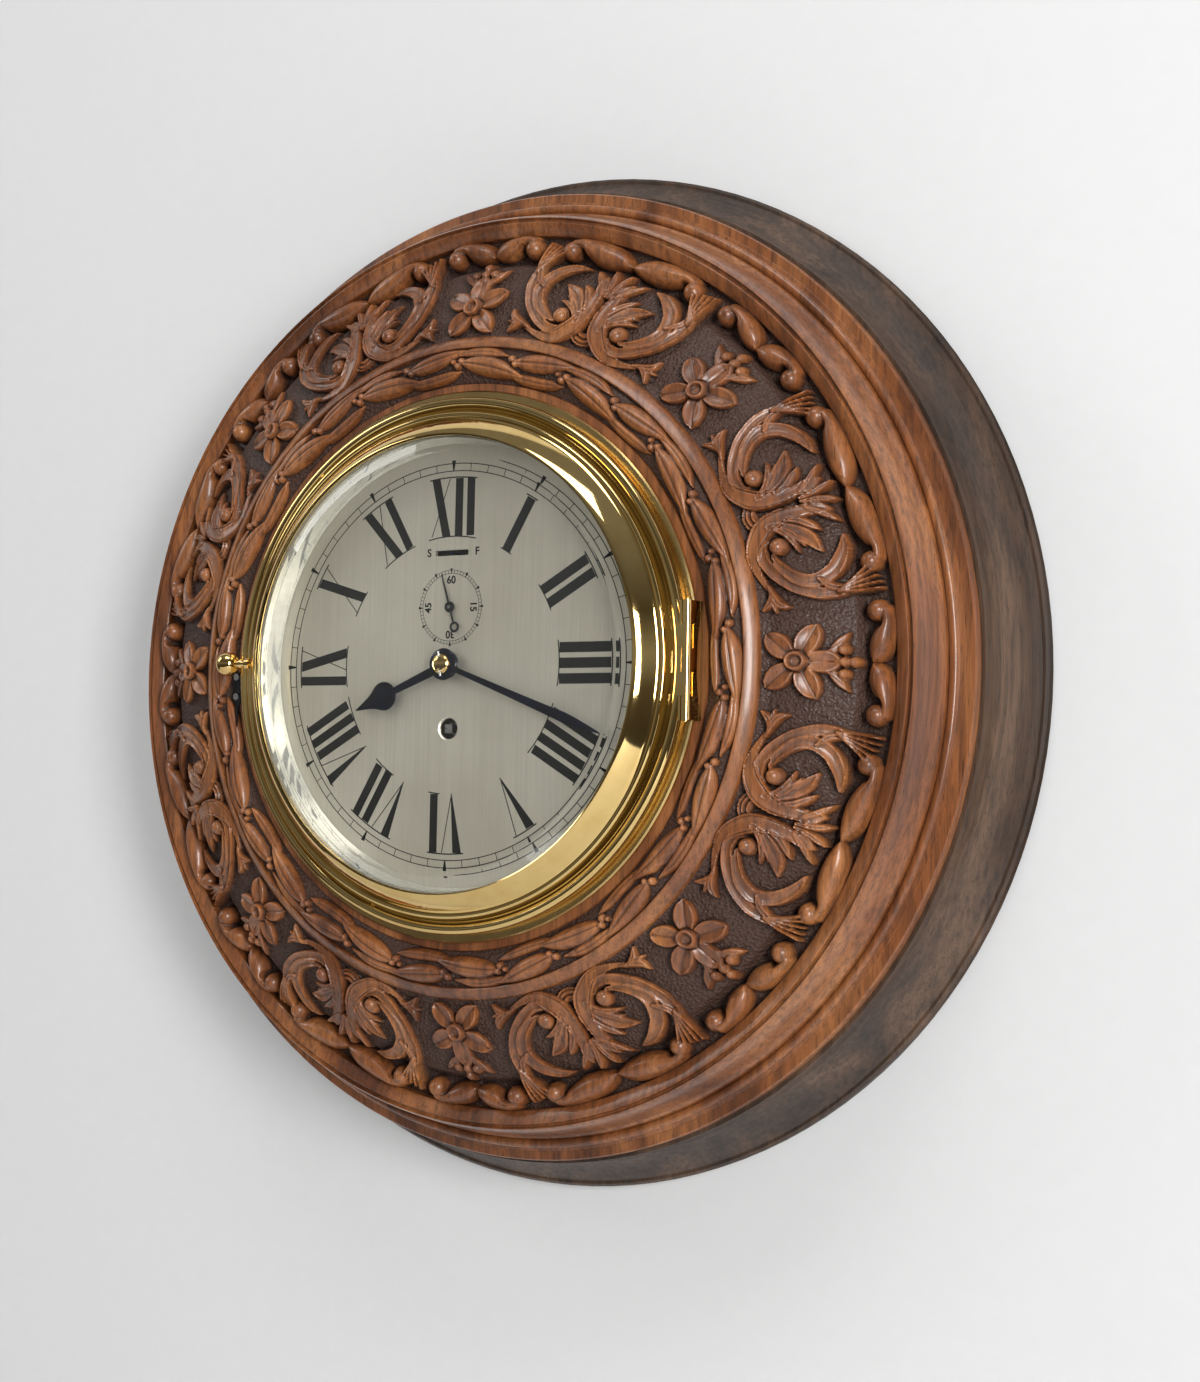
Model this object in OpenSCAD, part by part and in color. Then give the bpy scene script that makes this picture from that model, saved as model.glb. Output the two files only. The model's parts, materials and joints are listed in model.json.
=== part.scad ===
// Railway station wall clock: a carved round wooden surround that carries a brass cased dial clock
// with a hinged bezel and an eight day lever movement.
// Every piece is drawn facing up, with z as its distance in front of the wall, and is then turned to face -Y.

/* [Wooden case] */
// Height of the wooden base ring, from the wall to the back of the carved surround
base_h = 44; // [38:1:50]
// How far the base ring flares out beyond the carved surround, where it meets the wall
base_flare = 20; // [10:1:30]
// Width of the base ring's front face, where the surround is glued on
base_face_w = 34; // [28:1:38]
// Thickness of the back board
board_t = 12; // [9:0.5:15]
// Width of the rebate that the back board lies in
board_ledge_w = 14; // [10:1:16]
// Width of the plain wooden ring round the brass flange
plain_w = 4; // [3.8:0.1:8]
// Width of the laurel band
laurel_w = 18.5; // [14:0.5:24]
// Height of the laurel band above the plain ring
laurel_rise = 5; // [3:0.25:7]
// Width of the sloping fillet round the laurel band
fillet_w = 6; // [4:0.5:9]
// Width of the carved frieze
frieze_w = 41.5; // [34:0.5:50]
// How far the frieze falls back towards the wall across its width
frieze_drop = 19; // [12:0.5:21]
// Width of the dark channel between the frieze and the leaf and ball border
channel_w = 2; // [1.5:0.25:4]
// Width of the leaf and ball border
border_w = 14; // [11:0.5:18]
// Number of balls round the leaf and ball border, in groups of four
border_balls = 32; // [24:4:40]
// Radius of each ball of the border
border_ball_r = 4.2; // [3:0.1:5]
// Width of the outer moulding
moulding_w = 29; // [26:0.5:36]

/* [Brass case] */
// Distance of the dial's face in front of the wall
dial_z = 110; // [108:0.5:116]
// Radius of the brass flange that lies on the wood
flange_r = 139; // [138.6:0.1:142]
// Thickness of the brass flange
flange_t = 2.8; // [2:0.1:3.4]
// Inner radius of the brass drum
drum_r = 110.8; // [110.6:0.1:111.4]
// Wall thickness of the brass drum
drum_wall = 2.5; // [1.5:0.1:3]
// Depth of the brass drum behind its flange
drum_depth = 60; // [58:0.5:64]
// Radius of the wood screws' heads
screw_head_r = 4; // [3.2:0.1:4.6]

/* [Bezel and glass] */
// Radius of the opening at the bezel's front lip
lip_r = 113.5; // [112.8:0.1:114.5]
// Outer radius of the bezel
bezel_r = 134.7; // [133.8:0.1:135]
// Height of the bezel's front lip above the dial
lip_h = 17.4; // [16.4:0.1:20]
// Thickness of the glass at its middle
glass_t = 6.2; // [5:0.1:7]
// Width of the bevel round the glass
glass_bevel_w = 7.7; // [4:0.1:12]
// Radius of the pull knob's ball
knob_ball_r = 6.4; // [4:0.1:6.4]
// Length of the hinge
hinge_len = 56; // [40:1:56]
// Radius of the hinge's barrel
hinge_barrel_r = 2.5; // [2.2:0.05:2.6]
// Radius of the hinge pin
hinge_pin_r = 1.05; // [0.8:0.05:1.3]

/* [Dial and hands] */
// Radius of the dial plate
dial_r = 110.3; // [109.6:0.1:110.5]
// Thickness of the dial plate
dial_t = 2; // [1.2:0.1:2.6]
// Distance of the seconds hand's centre above the dial's centre
seconds_y = 29; // [27:0.5:31]
// Distance of the winding hole below the dial's centre
winding_y = 32; // [31.4:0.1:33]
// Radius of the winding hole in the dial
winding_hole_r = 5.3; // [4.4:0.1:7]
// Length of the hour hand, from the centre to its tip
hour_len = 60; // [54:1:64]
// Length of the minute hand, from the centre to its tip
minute_len = 98; // [85:1:104]
// Length of the seconds hand, from its centre to its tip
seconds_len = 17.5; // [12:0.5:18.5]
// Clockwise angle of the hour hand from twelve
hour_angle = 247.5; // [0:0.5:360]
// Clockwise angle of the minute hand from twelve
minute_angle = 110.5; // [0:0.5:360]
// Clockwise angle of the seconds hand from sixty
seconds_angle = 342.5; // [0:0.5:360]

/* [Movement] */
// Width of the movement's plates
plate_w = 76; // [72:1:84]
// Thickness of each plate
plate_t = 2.5; // [2:0.1:3]
// Distance between the two plates
plate_gap = 37.5; // [37:0.1:38.5]
// Thickness of the train's brass wheels
wheel_t = 1.5; // [1.1:0.1:1.6]
// Radius of the plate pillars
pillar_r = 3.6; // [3:0.1:4.4]
// Radius of the barrel's drum
barrel_r = 26.5; // [24:0.1:27]
// Number of turns of the mainspring
mainspring_turns = 6; // [4:1:8]
// Radius of the winding arbor
winding_arbor_r = 3; // [2.6:0.1:3.4]
// Radius of the balance wheel
balance_r = 8.5; // [7:0.1:9]
// Distance of the balance staff behind the dial's face
balance_back = 28; // [27:0.5:29]

/* [Hidden] */
// Running clearance of a pivot or pin in its hole, and the gap of a piece that is fixed on its seat
run = 0.05;
seat = 0.02;
// Gap between pieces that pass or lie beside each other
gap = 0.3;

// Radii of the wooden rings, from the flange outwards
bore_r = drum_r + drum_wall + 2.5;
laurel_in = flange_r + plain_w;
fillet_in = laurel_in + laurel_w;
frieze_in = fillet_in + fillet_w;
frieze_out = frieze_in + frieze_w;
border_in = frieze_out + channel_w;
border_out = border_in + border_w;
surround_r = border_out + moulding_w;
base_r = surround_r + base_flare;
face_out = surround_r + 2;
face_in = face_out - base_face_w;
board_r = face_in + board_ledge_w;

// Heights of the wooden rings
dial_above_seat = 4;
seat_z = dial_z - dial_above_seat;
fillet_z = seat_z + 1.5;
frieze_z = seat_z - 5;
frieze_end_z = frieze_z - frieze_drop;
channel_z = frieze_end_z - 8;
border_rise = 8;
// Where the first flower of the frieze lies, and how far each ball of the border stands from a flower
first_flower = 90;
border_ball_turns = [-12.7, -6, 6, 12.7];
mould_z = frieze_end_z - 7.4;
edge_z = 51;
surround_wall = 20;

// Brass case, bezel and glass
drum_out = drum_r + drum_wall;
flange_z = seat_z + flange_t;
drum_z = seat_z - drum_depth;
lip_z = dial_z + lip_h;
lip_t = 2.2;
bezel_z = flange_z + gap;
glass_edge_t = 3.6;
glass_top_z = lip_z - lip_t - gap;
glass_z = glass_top_z - glass_edge_t;
cell_r = lip_r + 2;
glass_r = cell_r - gap;
bevel_r = lip_r - 0.4;
crest_z = dial_z + 8.5;
roll_r = 2.8;
roll_z = dial_z + 3.2;

// Hinge at three o'clock
hinge_x = bezel_r + hinge_barrel_r;
hinge_z = dial_z + 7.5;
leaf_t = 1.4;
leaf_x = hinge_x - hinge_barrel_r - leaf_t - 0.1;
knuckles = 5;
knuckle_l = hinge_len / knuckles;

// Movement levels, measured from the front face of the back plate
dial_back_z = dial_z - dial_t;
motion_space = 7.5;
plate_front_z = dial_back_z - motion_space - plate_t;
plate_back_z = plate_front_z - plate_gap - plate_t;
zb = plate_back_z + plate_t;
great_z = zb + 1.5;
great_t = 2.5;
drum_lo_z = great_z + great_t;
barrel_h = 23;
contrate_tip_z = zb + 6.33;
third_wheel_z = zb + 19.5;
inter_wheel_z = zb + 30.5;
centre_wheel_z = zb + 34.3;
plate_top = seconds_y + 13;
plate_bottom = -winding_y - 34;
pillar_x = plate_w / 2 - 6;
pillar_ys = [plate_top - 6, plate_bottom + 6];
post_x = 18;

// Tooth counts, which fix the ratios of the train
great_n = 56;
inter_pinion_n = 8;
inter_n = 48;
centre_pinion_n = 8;
centre_n = 64;
third_pinion_n = 8;
third_n = 60;
fourth_pinion_n = 8;
contrate_n = 48;
escape_pinion_n = 6;
escape_n = 15;
cannon_n = 10;
minute_n = 30;
minute_pinion_n = 8;
hour_n = 32;

// Distances between arbors, and the pitch radii that they give
great_d = winding_y;
inter_d = 21;
centre_d = 18;
third_d = 14.875;
motion_d = 14;
function share(d, a, b) = d * a / (a + b);
great_pr = share(great_d, great_n, inter_pinion_n);
inter_pinion_pr = great_d - great_pr;
inter_pr = share(inter_d, inter_n, centre_pinion_n);
centre_pinion_pr = inter_d - inter_pr;
centre_pr = share(centre_d, centre_n, third_pinion_n);
third_pinion_pr = centre_d - centre_pr;
third_pr = share(third_d, third_n, fourth_pinion_n);
fourth_pinion_pr = third_d - third_pr;
cannon_pr = share(motion_d, cannon_n, minute_n);
minute_pr = motion_d - cannon_pr;
minute_pinion_pr = share(motion_d, minute_pinion_n, hour_n);
hour_pr = motion_d - minute_pinion_pr;

// Places of the arbors as seen from the front
centre_p = [0, 0];
barrel_p = [0, -winding_y];
fourth_p = [0, seconds_y];
// Point at distance a from the centre and b from a point at height h above or below it, on the given side
function meet(a, b, h, side) =
    let (y = (a * a - b * b + h * h) / (2 * h)) [side * sqrt(a * a - y * y), y];
inter_p = meet(inter_d, great_d, -winding_y, 1);
third_p = meet(centre_d, third_d, seconds_y, -1);
motion_p = motion_d * [cos(20), sin(20)];
function aim(a, b) = atan2(b[1] - a[1], b[0] - a[0]);

// Contrate wheel, and the escapement on its platform above the plates
contrate_r = 11;
contrate_band = 1.7;
contrate_mid_r = contrate_r - contrate_band / 2;
contrate_pitch = 360 / contrate_n;
escape_pinion_pr = escape_pinion_n * contrate_mid_r / contrate_n;
contrate_add = 0.45;
contrate_ded = 0.6;
escape_z = contrate_tip_z + contrate_add - escape_pinion_pr;
platform_y = plate_top;
platform_t = 2;
platform_top = platform_y + platform_t;
platform_w = 34;
escape_wheel_r = 5;
lever_z = escape_z + 8;
balance_z = dial_z - balance_back;
escape_y = platform_top + 2;
cock_y = platform_top + 4;
cock_t = 1.5;
balance_y = cock_y + cock_t + 1.1;
spring_y = balance_y + 2;
balance_cock_y = spring_y + 1.4;
balance_cock_t = 1.6;
index_y = balance_cock_y + balance_cock_t + gap;
index_t = 1;
slot_w = 20;
slot_h = 2.8;
slot_y = index_y + index_t / 2;

// Heights of the hands above the wall
seconds_z = dial_z + 0.8;
hour_z = dial_z + 2.6;
minute_z = dial_z + 5.2;
hand_t = 1.2;
boss_r = 8;
seconds_tail = 10.6;
nut_z = minute_z + 1.6 + 0.1;
nut_h = glass_z - nut_z - 1.4;
pin_z = nut_z + nut_h * 0.62;
centre_arbor_r = 1.6;
centre_tip_r = 1.2;
cannon_pipe_r = 2.2;
hour_pipe_r = 3.5;
pivot_r = 0.6;
arbor_r = 1.1;

// Screws, pins and pivots
wood_screw_r = 2;
flange_screw_ring = (drum_out + bezel_r) / 2 + 1;
flange_screw_n = 4;
flange_screw_l = 20;
board_screw_n = 8;
board_screw_grip = 12;
board_screw_l = board_t + board_screw_grip;
hanger_screw_head_r = 3.4;
hanger_screw_l = board_t - 3;
catch_screw_r = 1;
catch_screw_l = 14;
bezel_screw_r = 1.2;
bezel_screw_tip_r = 1;
frame_screw_r = 1.8;
frame_screw_l = 7;
case_screw_l = 5.5;
platform_screw_r = 0.7;
cock_screw_r = 0.8;
click_screw_r = 1;
click_pivot_r = 1.4;
post_spigot_r = 1.2;
stud_r = 1.2;
winding_pivot_r = 2;
seconds_tip_r = 0.8;
fine_pivot_r = 0.35;
fine_arbor_r = 0.7;
foot_r = 1.5;
dial_pin_r = 0.5;
dial_pin_z = plate_front_z - 1.2;
hand_pin_r = 0.6;
hand_pin_l = 12.6;
hanger_drop = 50;
hanger_y = board_r - hanger_drop;
hanger_w = 36;
hanger_l = 58;
hanger_t = 2.5;
hanger_hole_r = 5;
hanger_hole_y = hanger_y + 6;
$fn = 64;

// Turns a piece drawn facing up so that it hangs on the wall and faces -Y
module hung() rotate([90, 0, 0]) children();

// Stands a piece along the upright axis at a distance in front of the wall
module upright(z, y) translate([0, y, z]) rotate([-90, 0, 0]) children();

module ring(r_out, r_in, z, h) translate([0, 0, z]) linear_extrude(h) difference() {
    circle(r_out, $fn = 96);
    circle(r_in, $fn = 96);
}

module rod(r, z, h) translate([0, 0, z]) cylinder(r = r, h = h, $fn = 48);

// Point of a polar outline
function polar(r, a) = [r * cos(a), r * sin(a)];

// Outline of a flat spiral strip that grows from radius a to radius b
function spiral_strip(a, b, strip, turns, per_turn) =
    let (n = turns * per_turn, p = function(k, off) polar(a + (b - a) * k / n + off, 360 / per_turn * k))
    concat([for (k = [0 : n]) p(k, 0)], [for (k = [n : -1 : 0]) p(k, strip)]);

// Toothed outline: aim_a is the direction of the wheel that it meshes with, where a wheel has a tooth
// and a pinion a gap
module teeth(n, pr, aim_a, pinion = false) {
    m = 2 * pr / n;
    tip = pr + m * (pinion ? 0.65 : 0.95);
    root = pr - m * 1.3;
    half = 180 / n * (pinion ? 0.34 : 0.42);
    tip_half = half * (pinion ? 0.55 : 0.4);
    start = aim_a + (pinion ? 180 / n : 0);
    polygon([for (i = [0 : n - 1]) let (a = start + i * 360 / n) each [
        polar(root, a - half), polar(pr, a - half), polar(tip, a - tip_half),
        polar(tip, a + tip_half), polar(pr, a + half), polar(root, a + half)
    ]]);
}

module gear(n, pr, z, h, aim_a, pinion = false) translate([0, 0, z]) linear_extrude(h)
    teeth(n, pr, aim_a, pinion);

// Wheel with crossed arms
module crossed_wheel(n, pr, z, h, aim_a, hub_r, bore, arms) {
    rim_r = pr - 2 * pr / n * 1.3 - 1.4;
    arm_w = 1.8;
    translate([0, 0, z]) linear_extrude(h) difference() {
        teeth(n, pr, aim_a);
        difference() {
            circle(rim_r);
            circle(hub_r);
            for (i = [0 : arms - 1]) rotate(i * 360 / arms)
                translate([0, -arm_w / 2]) square([rim_r + 1, arm_w]);
        }
        if (bore > 0) circle(bore);
    }
}

// Arbor between the two plates, with a pivot in each
module arbor(r) {
    rod(r, zb + gap, plate_gap - 2 * gap);
    rod(pivot_r, plate_back_z, plate_gap + 2 * plate_t);
}

// Cheese headed screw that stands along z, head up
module screw(r, l, head_r, head_h) difference() {
    union() {
        rod(r, -l, l);
        rod(head_r, 0, head_h);
    }
    translate([-head_r - 1, -head_r * 0.12, head_h * 0.5]) cube([2 * head_r + 2, head_r * 0.24, head_h]);
}

// Countersunk wood screw with its head flush at z = 0
module sunk_screw(head_r, l) difference() {
    union() {
        translate([0, 0, -head_r + wood_screw_r])
            cylinder(r1 = wood_screw_r, r2 = head_r, h = head_r - wood_screw_r);
        rod(wood_screw_r, -l, l - 0.5);
    }
    translate([-head_r - 1, -0.45, -0.9]) cube([2 * head_r + 2, 0.9, 2]);
}

module sunk_hole(head_r, l) {
    translate([0, 0, -head_r + wood_screw_r])
        cylinder(r1 = wood_screw_r + run, r2 = head_r + run, h = head_r - wood_screw_r + 0.001);
    rod(wood_screw_r + run, -l - gap, l + gap);
    rod(head_r + run, 0, 1);
}

module around(n, r, start = 0) for (i = [0 : n - 1])
    rotate(start + i * 360 / n) translate([r, 0, 0]) children();

// Wooden case

module flange_screw_spots() around(flange_screw_n, flange_screw_ring, 45) translate([0, 0, flange_z])
    children();
module board_screw_spots() around(board_screw_n, (face_in + board_r) / 2, 22.5) rotate([180, 0, 0])
    children();

// Front of the surround, from its bore to its outer edge: plain ring, laurel band, fillet, frieze, channel,
// leaf and ball border, sloping fillet, groove, ogee, bead and outer step
function laurel_line() =
    [for (t = [0 : 0.1 : 1]) [laurel_in + laurel_w * t, seat_z + laurel_rise * sin(180 * t)]];
function frieze_line() =
    [for (t = [0 : 0.1 : 1]) [frieze_in + frieze_w * t, frieze_z - frieze_drop * pow(t, 1.6)]];
function border_line() =
    [for (t = [0 : 0.1 : 1]) [border_in + border_w * t, mould_z + border_rise * sin(180 * t)]];
ogee_in = border_out + 9;
ogee_out = border_out + 16.5;
bead_at = border_out + 19.5;
ogee_top = mould_z + 4.5;
ogee_drop = ogee_top - edge_z - 7;
function ogee_line() = [for (t = [0 : 0.1 : 1])
    [ogee_in + (ogee_out - ogee_in) * t, ogee_top - ogee_drop * (t - 0.09 * sin(360 * t))]];
function bead_line() = [for (a = [160 : -20 : 0]) [bead_at + 2.4 * cos(a), edge_z + 3.4 + 2.4 * sin(a)]];

module surround_front() polygon(concat(
    [[bore_r, seat_z]], laurel_line(), [[fillet_in, fillet_z], [frieze_in, fillet_z - 4]], frieze_line(),
    [[frieze_out + 0.5, channel_z], [border_in, channel_z]], border_line(),
    [[border_out + 6.5, ogee_top], [border_out + 7.5, ogee_top - 2], [border_out + 8, ogee_top - 2]],
    ogee_line(), bead_line(),
    [[bead_at + 3.2, edge_z + 1.2], [bead_at + 4.4, edge_z + 1.2], [bead_at + 4.6, edge_z],
     [surround_r, edge_z], [surround_r, base_h], [face_in, base_h],
     [border_in - 4, frieze_end_z - surround_wall - 4], [frieze_in, frieze_z - surround_wall], [bore_r, seat_z - surround_wall]]
));

module carved_surround() color("sienna") hung() difference() {
    union() {
        rotate_extrude($fn = 128) surround_front();
        for (a = border_ball_turns) around(border_balls / 4, border_in + border_w * 0.55, first_flower + a)
            translate([0, 0, mould_z + border_rise * 0.7]) sphere(r = border_ball_r, $fn = 32);
    }
    flange_screw_spots() sunk_hole(screw_head_r, flange_screw_l);
    for (y = catch_ys) translate([catch_screw_x, y, flange_z + catch_t])
        rod(catch_screw_r + run, -catch_screw_l - gap, catch_screw_l + gap);
}

module base_profile() {
    foot = 7;
    cove = [for (t = [0 : 0.1 : 1])
        [face_out + (base_r - 3 - face_out) * pow(1 - t, 2), foot + (base_h - 6 - foot) * t]];
    polygon(concat([[board_r, 0], [base_r, 0], [base_r, foot - 1.5], [base_r - 1.5, foot]], cove,
        [[face_out, base_h], [face_in, base_h], [face_in, board_t], [board_r, board_t]]));
}

module wall_base() color("saddlebrown") hung() difference() {
    rotate_extrude($fn = 128) base_profile();
    board_screw_spots() sunk_hole(screw_head_r, board_screw_l);
}

module back_board() color("peru") hung() difference() {
    rod(board_r - gap, 0, board_t);
    translate([-hanger_w / 2 - run, hanger_y - hanger_l / 2 - run, -1])
        cube([hanger_w + 2 * run, hanger_l + 2 * run, hanger_t + 1]);
    translate([0, hanger_hole_y, hanger_t - 0.5]) rod(hanger_hole_r + 4, 0, board_t);
    hanger_spots() rotate([180, 0, 0]) sunk_hole(hanger_screw_head_r, hanger_screw_l);
    board_screw_spots() sunk_hole(screw_head_r, board_screw_l);
}

module board_screws() color("darkgoldenrod") hung()
    board_screw_spots() sunk_screw(screw_head_r, board_screw_l);

module hanger_spots() for (x = [-1, 1], y = [-1, 1])
    translate([x * (hanger_w / 2 - 6), hanger_y + y * (hanger_l / 2 - 7), 0]) children();

module hanging_plate() color("goldenrod") hung() difference() {
    translate([-hanger_w / 2, hanger_y - hanger_l / 2, 0]) cube([hanger_w, hanger_l, hanger_t]);
    translate([0, hanger_hole_y, -1]) rod(hanger_hole_r, 0, hanger_t + 2);
    hanger_spots() rotate([180, 0, 0]) sunk_hole(hanger_screw_head_r, hanger_screw_l);
}

module hanging_plate_screws() color("darkgoldenrod") hung()
    hanger_spots() rotate([180, 0, 0]) sunk_screw(hanger_screw_head_r, hanger_screw_l);

// Brass case

module hinge_lug() translate([flange_r - 20, -hinge_len / 2, seat_z]) cube([20.8, hinge_len, flange_t]);

module brass_case() color("goldenrod") hung() difference() {
    union() {
        rotate_extrude($fn = 128) polygon([[0, drum_z], [drum_out - 3, drum_z], [drum_out, drum_z + 3],
            [drum_out, seat_z], [flange_r - 0.4, seat_z], [flange_r, seat_z + 0.4],
            [flange_r, flange_z - 0.8], [flange_r - 0.8, flange_z], [drum_r, flange_z],
            [drum_r, drum_z + drum_wall], [0, drum_z + drum_wall]]);
        hinge_lug();
    }
    flange_screw_spots() sunk_hole(screw_head_r, flange_screw_l);
    post_spots() rod(frame_screw_r + run, drum_z - 1, drum_wall + 2);
}

module flange_screws() color("darkgoldenrod") hung()
    flange_screw_spots() sunk_screw(screw_head_r, flange_screw_l);

catch_screw_x = -(flange_r + 1.8);
catch_ys = [-4.5, -15];
catch_t = 1;

// Black steel catch plate with a pointed tail, screwed to the wood beside the bezel's edge
module catch_plate() color("dimgray") hung() difference() {
    union() {
        translate([0, 0, flange_z]) linear_extrude(catch_t) polygon([
            [-bezel_r - 1.8, -3], [-bezel_r - 3, -2], [catch_screw_x - 2.2, -2], [catch_screw_x - 3, -4],
            [catch_screw_x - 3, -15], [catch_screw_x - 0.8, -20], [catch_screw_x + 0.2, -31],
            [catch_screw_x + 1.2, -20], [-bezel_r - 1.8, -16.5]]);
        intersection() {
            translate([catch_screw_x - 3, -17, seat_z]) cube([6, 13, flange_t]);
            ring(laurel_in - gap, flange_r + gap, seat_z, flange_t);
        }
        translate([-bezel_r - 2.6, -13, flange_z]) cube([2.6 - gap, 5.5, 5]);
    }
    for (y = catch_ys) translate([catch_screw_x, y, 0]) rod(catch_screw_r + run, seat_z - 1, flange_t + 3);
    translate([0, 0, roll_z]) rotate_extrude($fn = 128) translate([bezel_r - roll_r, 0]) circle(roll_r + gap);
}

module catch_screws() color("silver") hung()
    for (y = catch_ys) translate([catch_screw_x, y, flange_z + catch_t])
        screw(catch_screw_r, catch_screw_l, 1.8, 0.9);

module knuckle(i) translate([hinge_x, -hinge_len / 2 + i * knuckle_l + run, hinge_z]) rotate([-90, 0, 0])
    cylinder(r = hinge_barrel_r, h = knuckle_l - 2 * run, $fn = 48);

module hinge_bore() translate([hinge_x, -hinge_len / 2 - 1, hinge_z]) rotate([-90, 0, 0])
    cylinder(r = hinge_pin_r + run, h = hinge_len + 2, $fn = 48);

// The fixed leaf is brazed on the flange, stands outside the barrel and carries the three outer knuckles
module hinge_fixed_leaf() color("goldenrod") hung() difference() {
    cheek_x = hinge_x + hinge_barrel_r - leaf_t;
    union() {
        translate([cheek_x, -hinge_len / 2, flange_z])
            cube([leaf_t, hinge_len, hinge_z - flange_z - hinge_barrel_r - gap]);
        translate([bezel_r + 0.8, -hinge_len / 2, flange_z])
            cube([cheek_x - bezel_r - 0.8, hinge_len, 1]);
        for (i = [0, 2, 4]) {
            knuckle(i);
            translate([cheek_x, -hinge_len / 2 + i * knuckle_l + run, flange_z])
                cube([leaf_t, knuckle_l - 2 * run, hinge_z - flange_z]);
        }
    }
    hinge_bore();
}

module hinge_pin() color("gold") hung()
    translate([hinge_x, -hinge_len / 2 - 0.6, hinge_z]) rotate([-90, 0, 0])
    cylinder(r = hinge_pin_r, h = hinge_len + 1.2, $fn = 48);

// The bezel's leaf is fixed on a flat at the bezel's edge, and carries the two knuckles between
module hinge_bezel_leaf() color("goldenrod") hung() difference() {
    union() {
        translate([leaf_x, -hinge_len / 2, bezel_z + 0.6]) cube([leaf_t, hinge_len, hinge_z - bezel_z - 0.6]);
        for (i = [1, 3]) {
            knuckle(i);
            translate([leaf_x, -hinge_len / 2 + i * knuckle_l + run, hinge_z])
                cube([hinge_x - leaf_x, knuckle_l - 2 * run, hinge_barrel_r]);
        }
    }
    hinge_bore();
}

// Bezel, glass and what they carry

module bezel_profile() {
    slope = [for (t = [0 : 0.125 : 1])
        [lip_r + 0.8 + 8.4 * t, lip_z + 0.2 - (lip_z - crest_z - 0.6) * pow(t, 1.35)]];
    crest = [for (a = [140 : -20 : 0]) [lip_r + 11.5 + 1.7 * cos(a), crest_z + 1.7 * sin(a) - 0.9]];
    roll = [for (a = [150 : -15 : -60]) [bezel_r - roll_r + roll_r * cos(a), roll_z + roll_r * sin(a)]];
    polygon(concat([[cell_r, bezel_z], [cell_r, lip_z - lip_t], [lip_r, lip_z - lip_t], [lip_r, lip_z - 0.3]],
        slope, crest, [[lip_r + 13.6, crest_z - 3.4], [lip_r + 14.8, roll_z + 0.8]], roll,
        [[bezel_r - 1.6, bezel_z]]));
}

bezel_screw_z = dial_z + 6;
bezel_screw_in = cell_r - 0.1;
bezel_screw_out = lip_r + 13.4 - bezel_screw_in;
module bezel_screw_spots() for (a = [10, 130, 250]) rotate(a) translate([bezel_screw_in, 0, bezel_screw_z])
    rotate([0, 90, 0]) children();

knob_z = dial_z + 8.6;
knob_y = 2;
knob_in = lip_r + 10.5;
knob_stud_r = 1.5;
knob_stud_l = 6;
knob_collar_r = 3.1;
knob_collar_h = 2.6;
knob_gap = 7.4;
module knob_axis() translate([-knob_in, knob_y, knob_z]) rotate([0, -90, 0]) children();

module bezel() color("gold") hung() difference() {
    rotate_extrude($fn = 128) bezel_profile();
    translate([leaf_x - seat, -hinge_len / 2 - gap, bezel_z - 1]) cube([20, hinge_len + 2 * gap, lip_h + 4]);
    bezel_screw_spots() cylinder(r = bezel_screw_r + seat, h = bezel_screw_out + 2, $fn = 32);
    knob_axis() rod(knob_stud_r + seat, -knob_stud_l - 0.2, knob_stud_l + 1);
    knob_axis() rod(knob_collar_r + seat, 0, 4);
}

module glass() color("lightblue", 0.35) hung() rotate_extrude($fn = 128)
    polygon([[0, glass_z], [glass_r, glass_z], [glass_r, glass_top_z], [bevel_r, glass_top_z],
        [bevel_r - glass_bevel_w, glass_z + glass_t], [0, glass_z + glass_t]]);

// The sight ring is a folded ring: a silvered cone inside and a skirt outside, which the bezel's screws hold
sight_top = glass_z - gap;
sight_r = cell_r - 0.2;
sight_in = dial_r - 2.1;
sight_lip_r = lip_r - 1.1;
sight_t = 1;
module sight_ring() color("silver") hung() difference() {
    rotate_extrude($fn = 128) polygon([[sight_in, dial_z + gap], [sight_in + sight_t, dial_z + gap],
        [sight_lip_r + 0.8, sight_top - sight_t], [sight_r - sight_t, sight_top - sight_t],
        [sight_r - sight_t, dial_z + 1], [sight_r, dial_z + 1], [sight_r, sight_top],
        [sight_lip_r, sight_top]]);
    bezel_screw_spots() cylinder(r = bezel_screw_tip_r + seat, h = 4, center = true, $fn = 32);
}

module bezel_screws() color("gold") hung() bezel_screw_spots() {
    cylinder(r = bezel_screw_r, h = bezel_screw_out, $fn = 32);
    translate([0, 0, -1.2]) cylinder(r = bezel_screw_tip_r, h = 1.2, $fn = 32);
}

module pull_knob() color("gold") hung() knob_axis() {
    rod(knob_stud_r, -knob_stud_l, knob_stud_l);
    rod(knob_collar_r, 0, knob_collar_h);
    translate([0, 0, knob_collar_h]) rotate_extrude($fn = 64) polygon([[0, 0], [2.4, 0], [1.8, 1.6],
        [1.8, 3.2], [2.4, 4], [2.4, 4.9], [1.9, 5.6], [1.9, knob_gap], [0, knob_gap]]);
    translate([0, 0, knob_collar_h + knob_gap + knob_ball_r - 0.6]) sphere(r = knob_ball_r, $fn = 64);
}

// Dial

foot_spots_xy = [[-30, 20], [30, 20], [0, plate_bottom + 6]];
module foot_spots() for (p = foot_spots_xy) translate([p[0], p[1], 0]) children();

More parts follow.
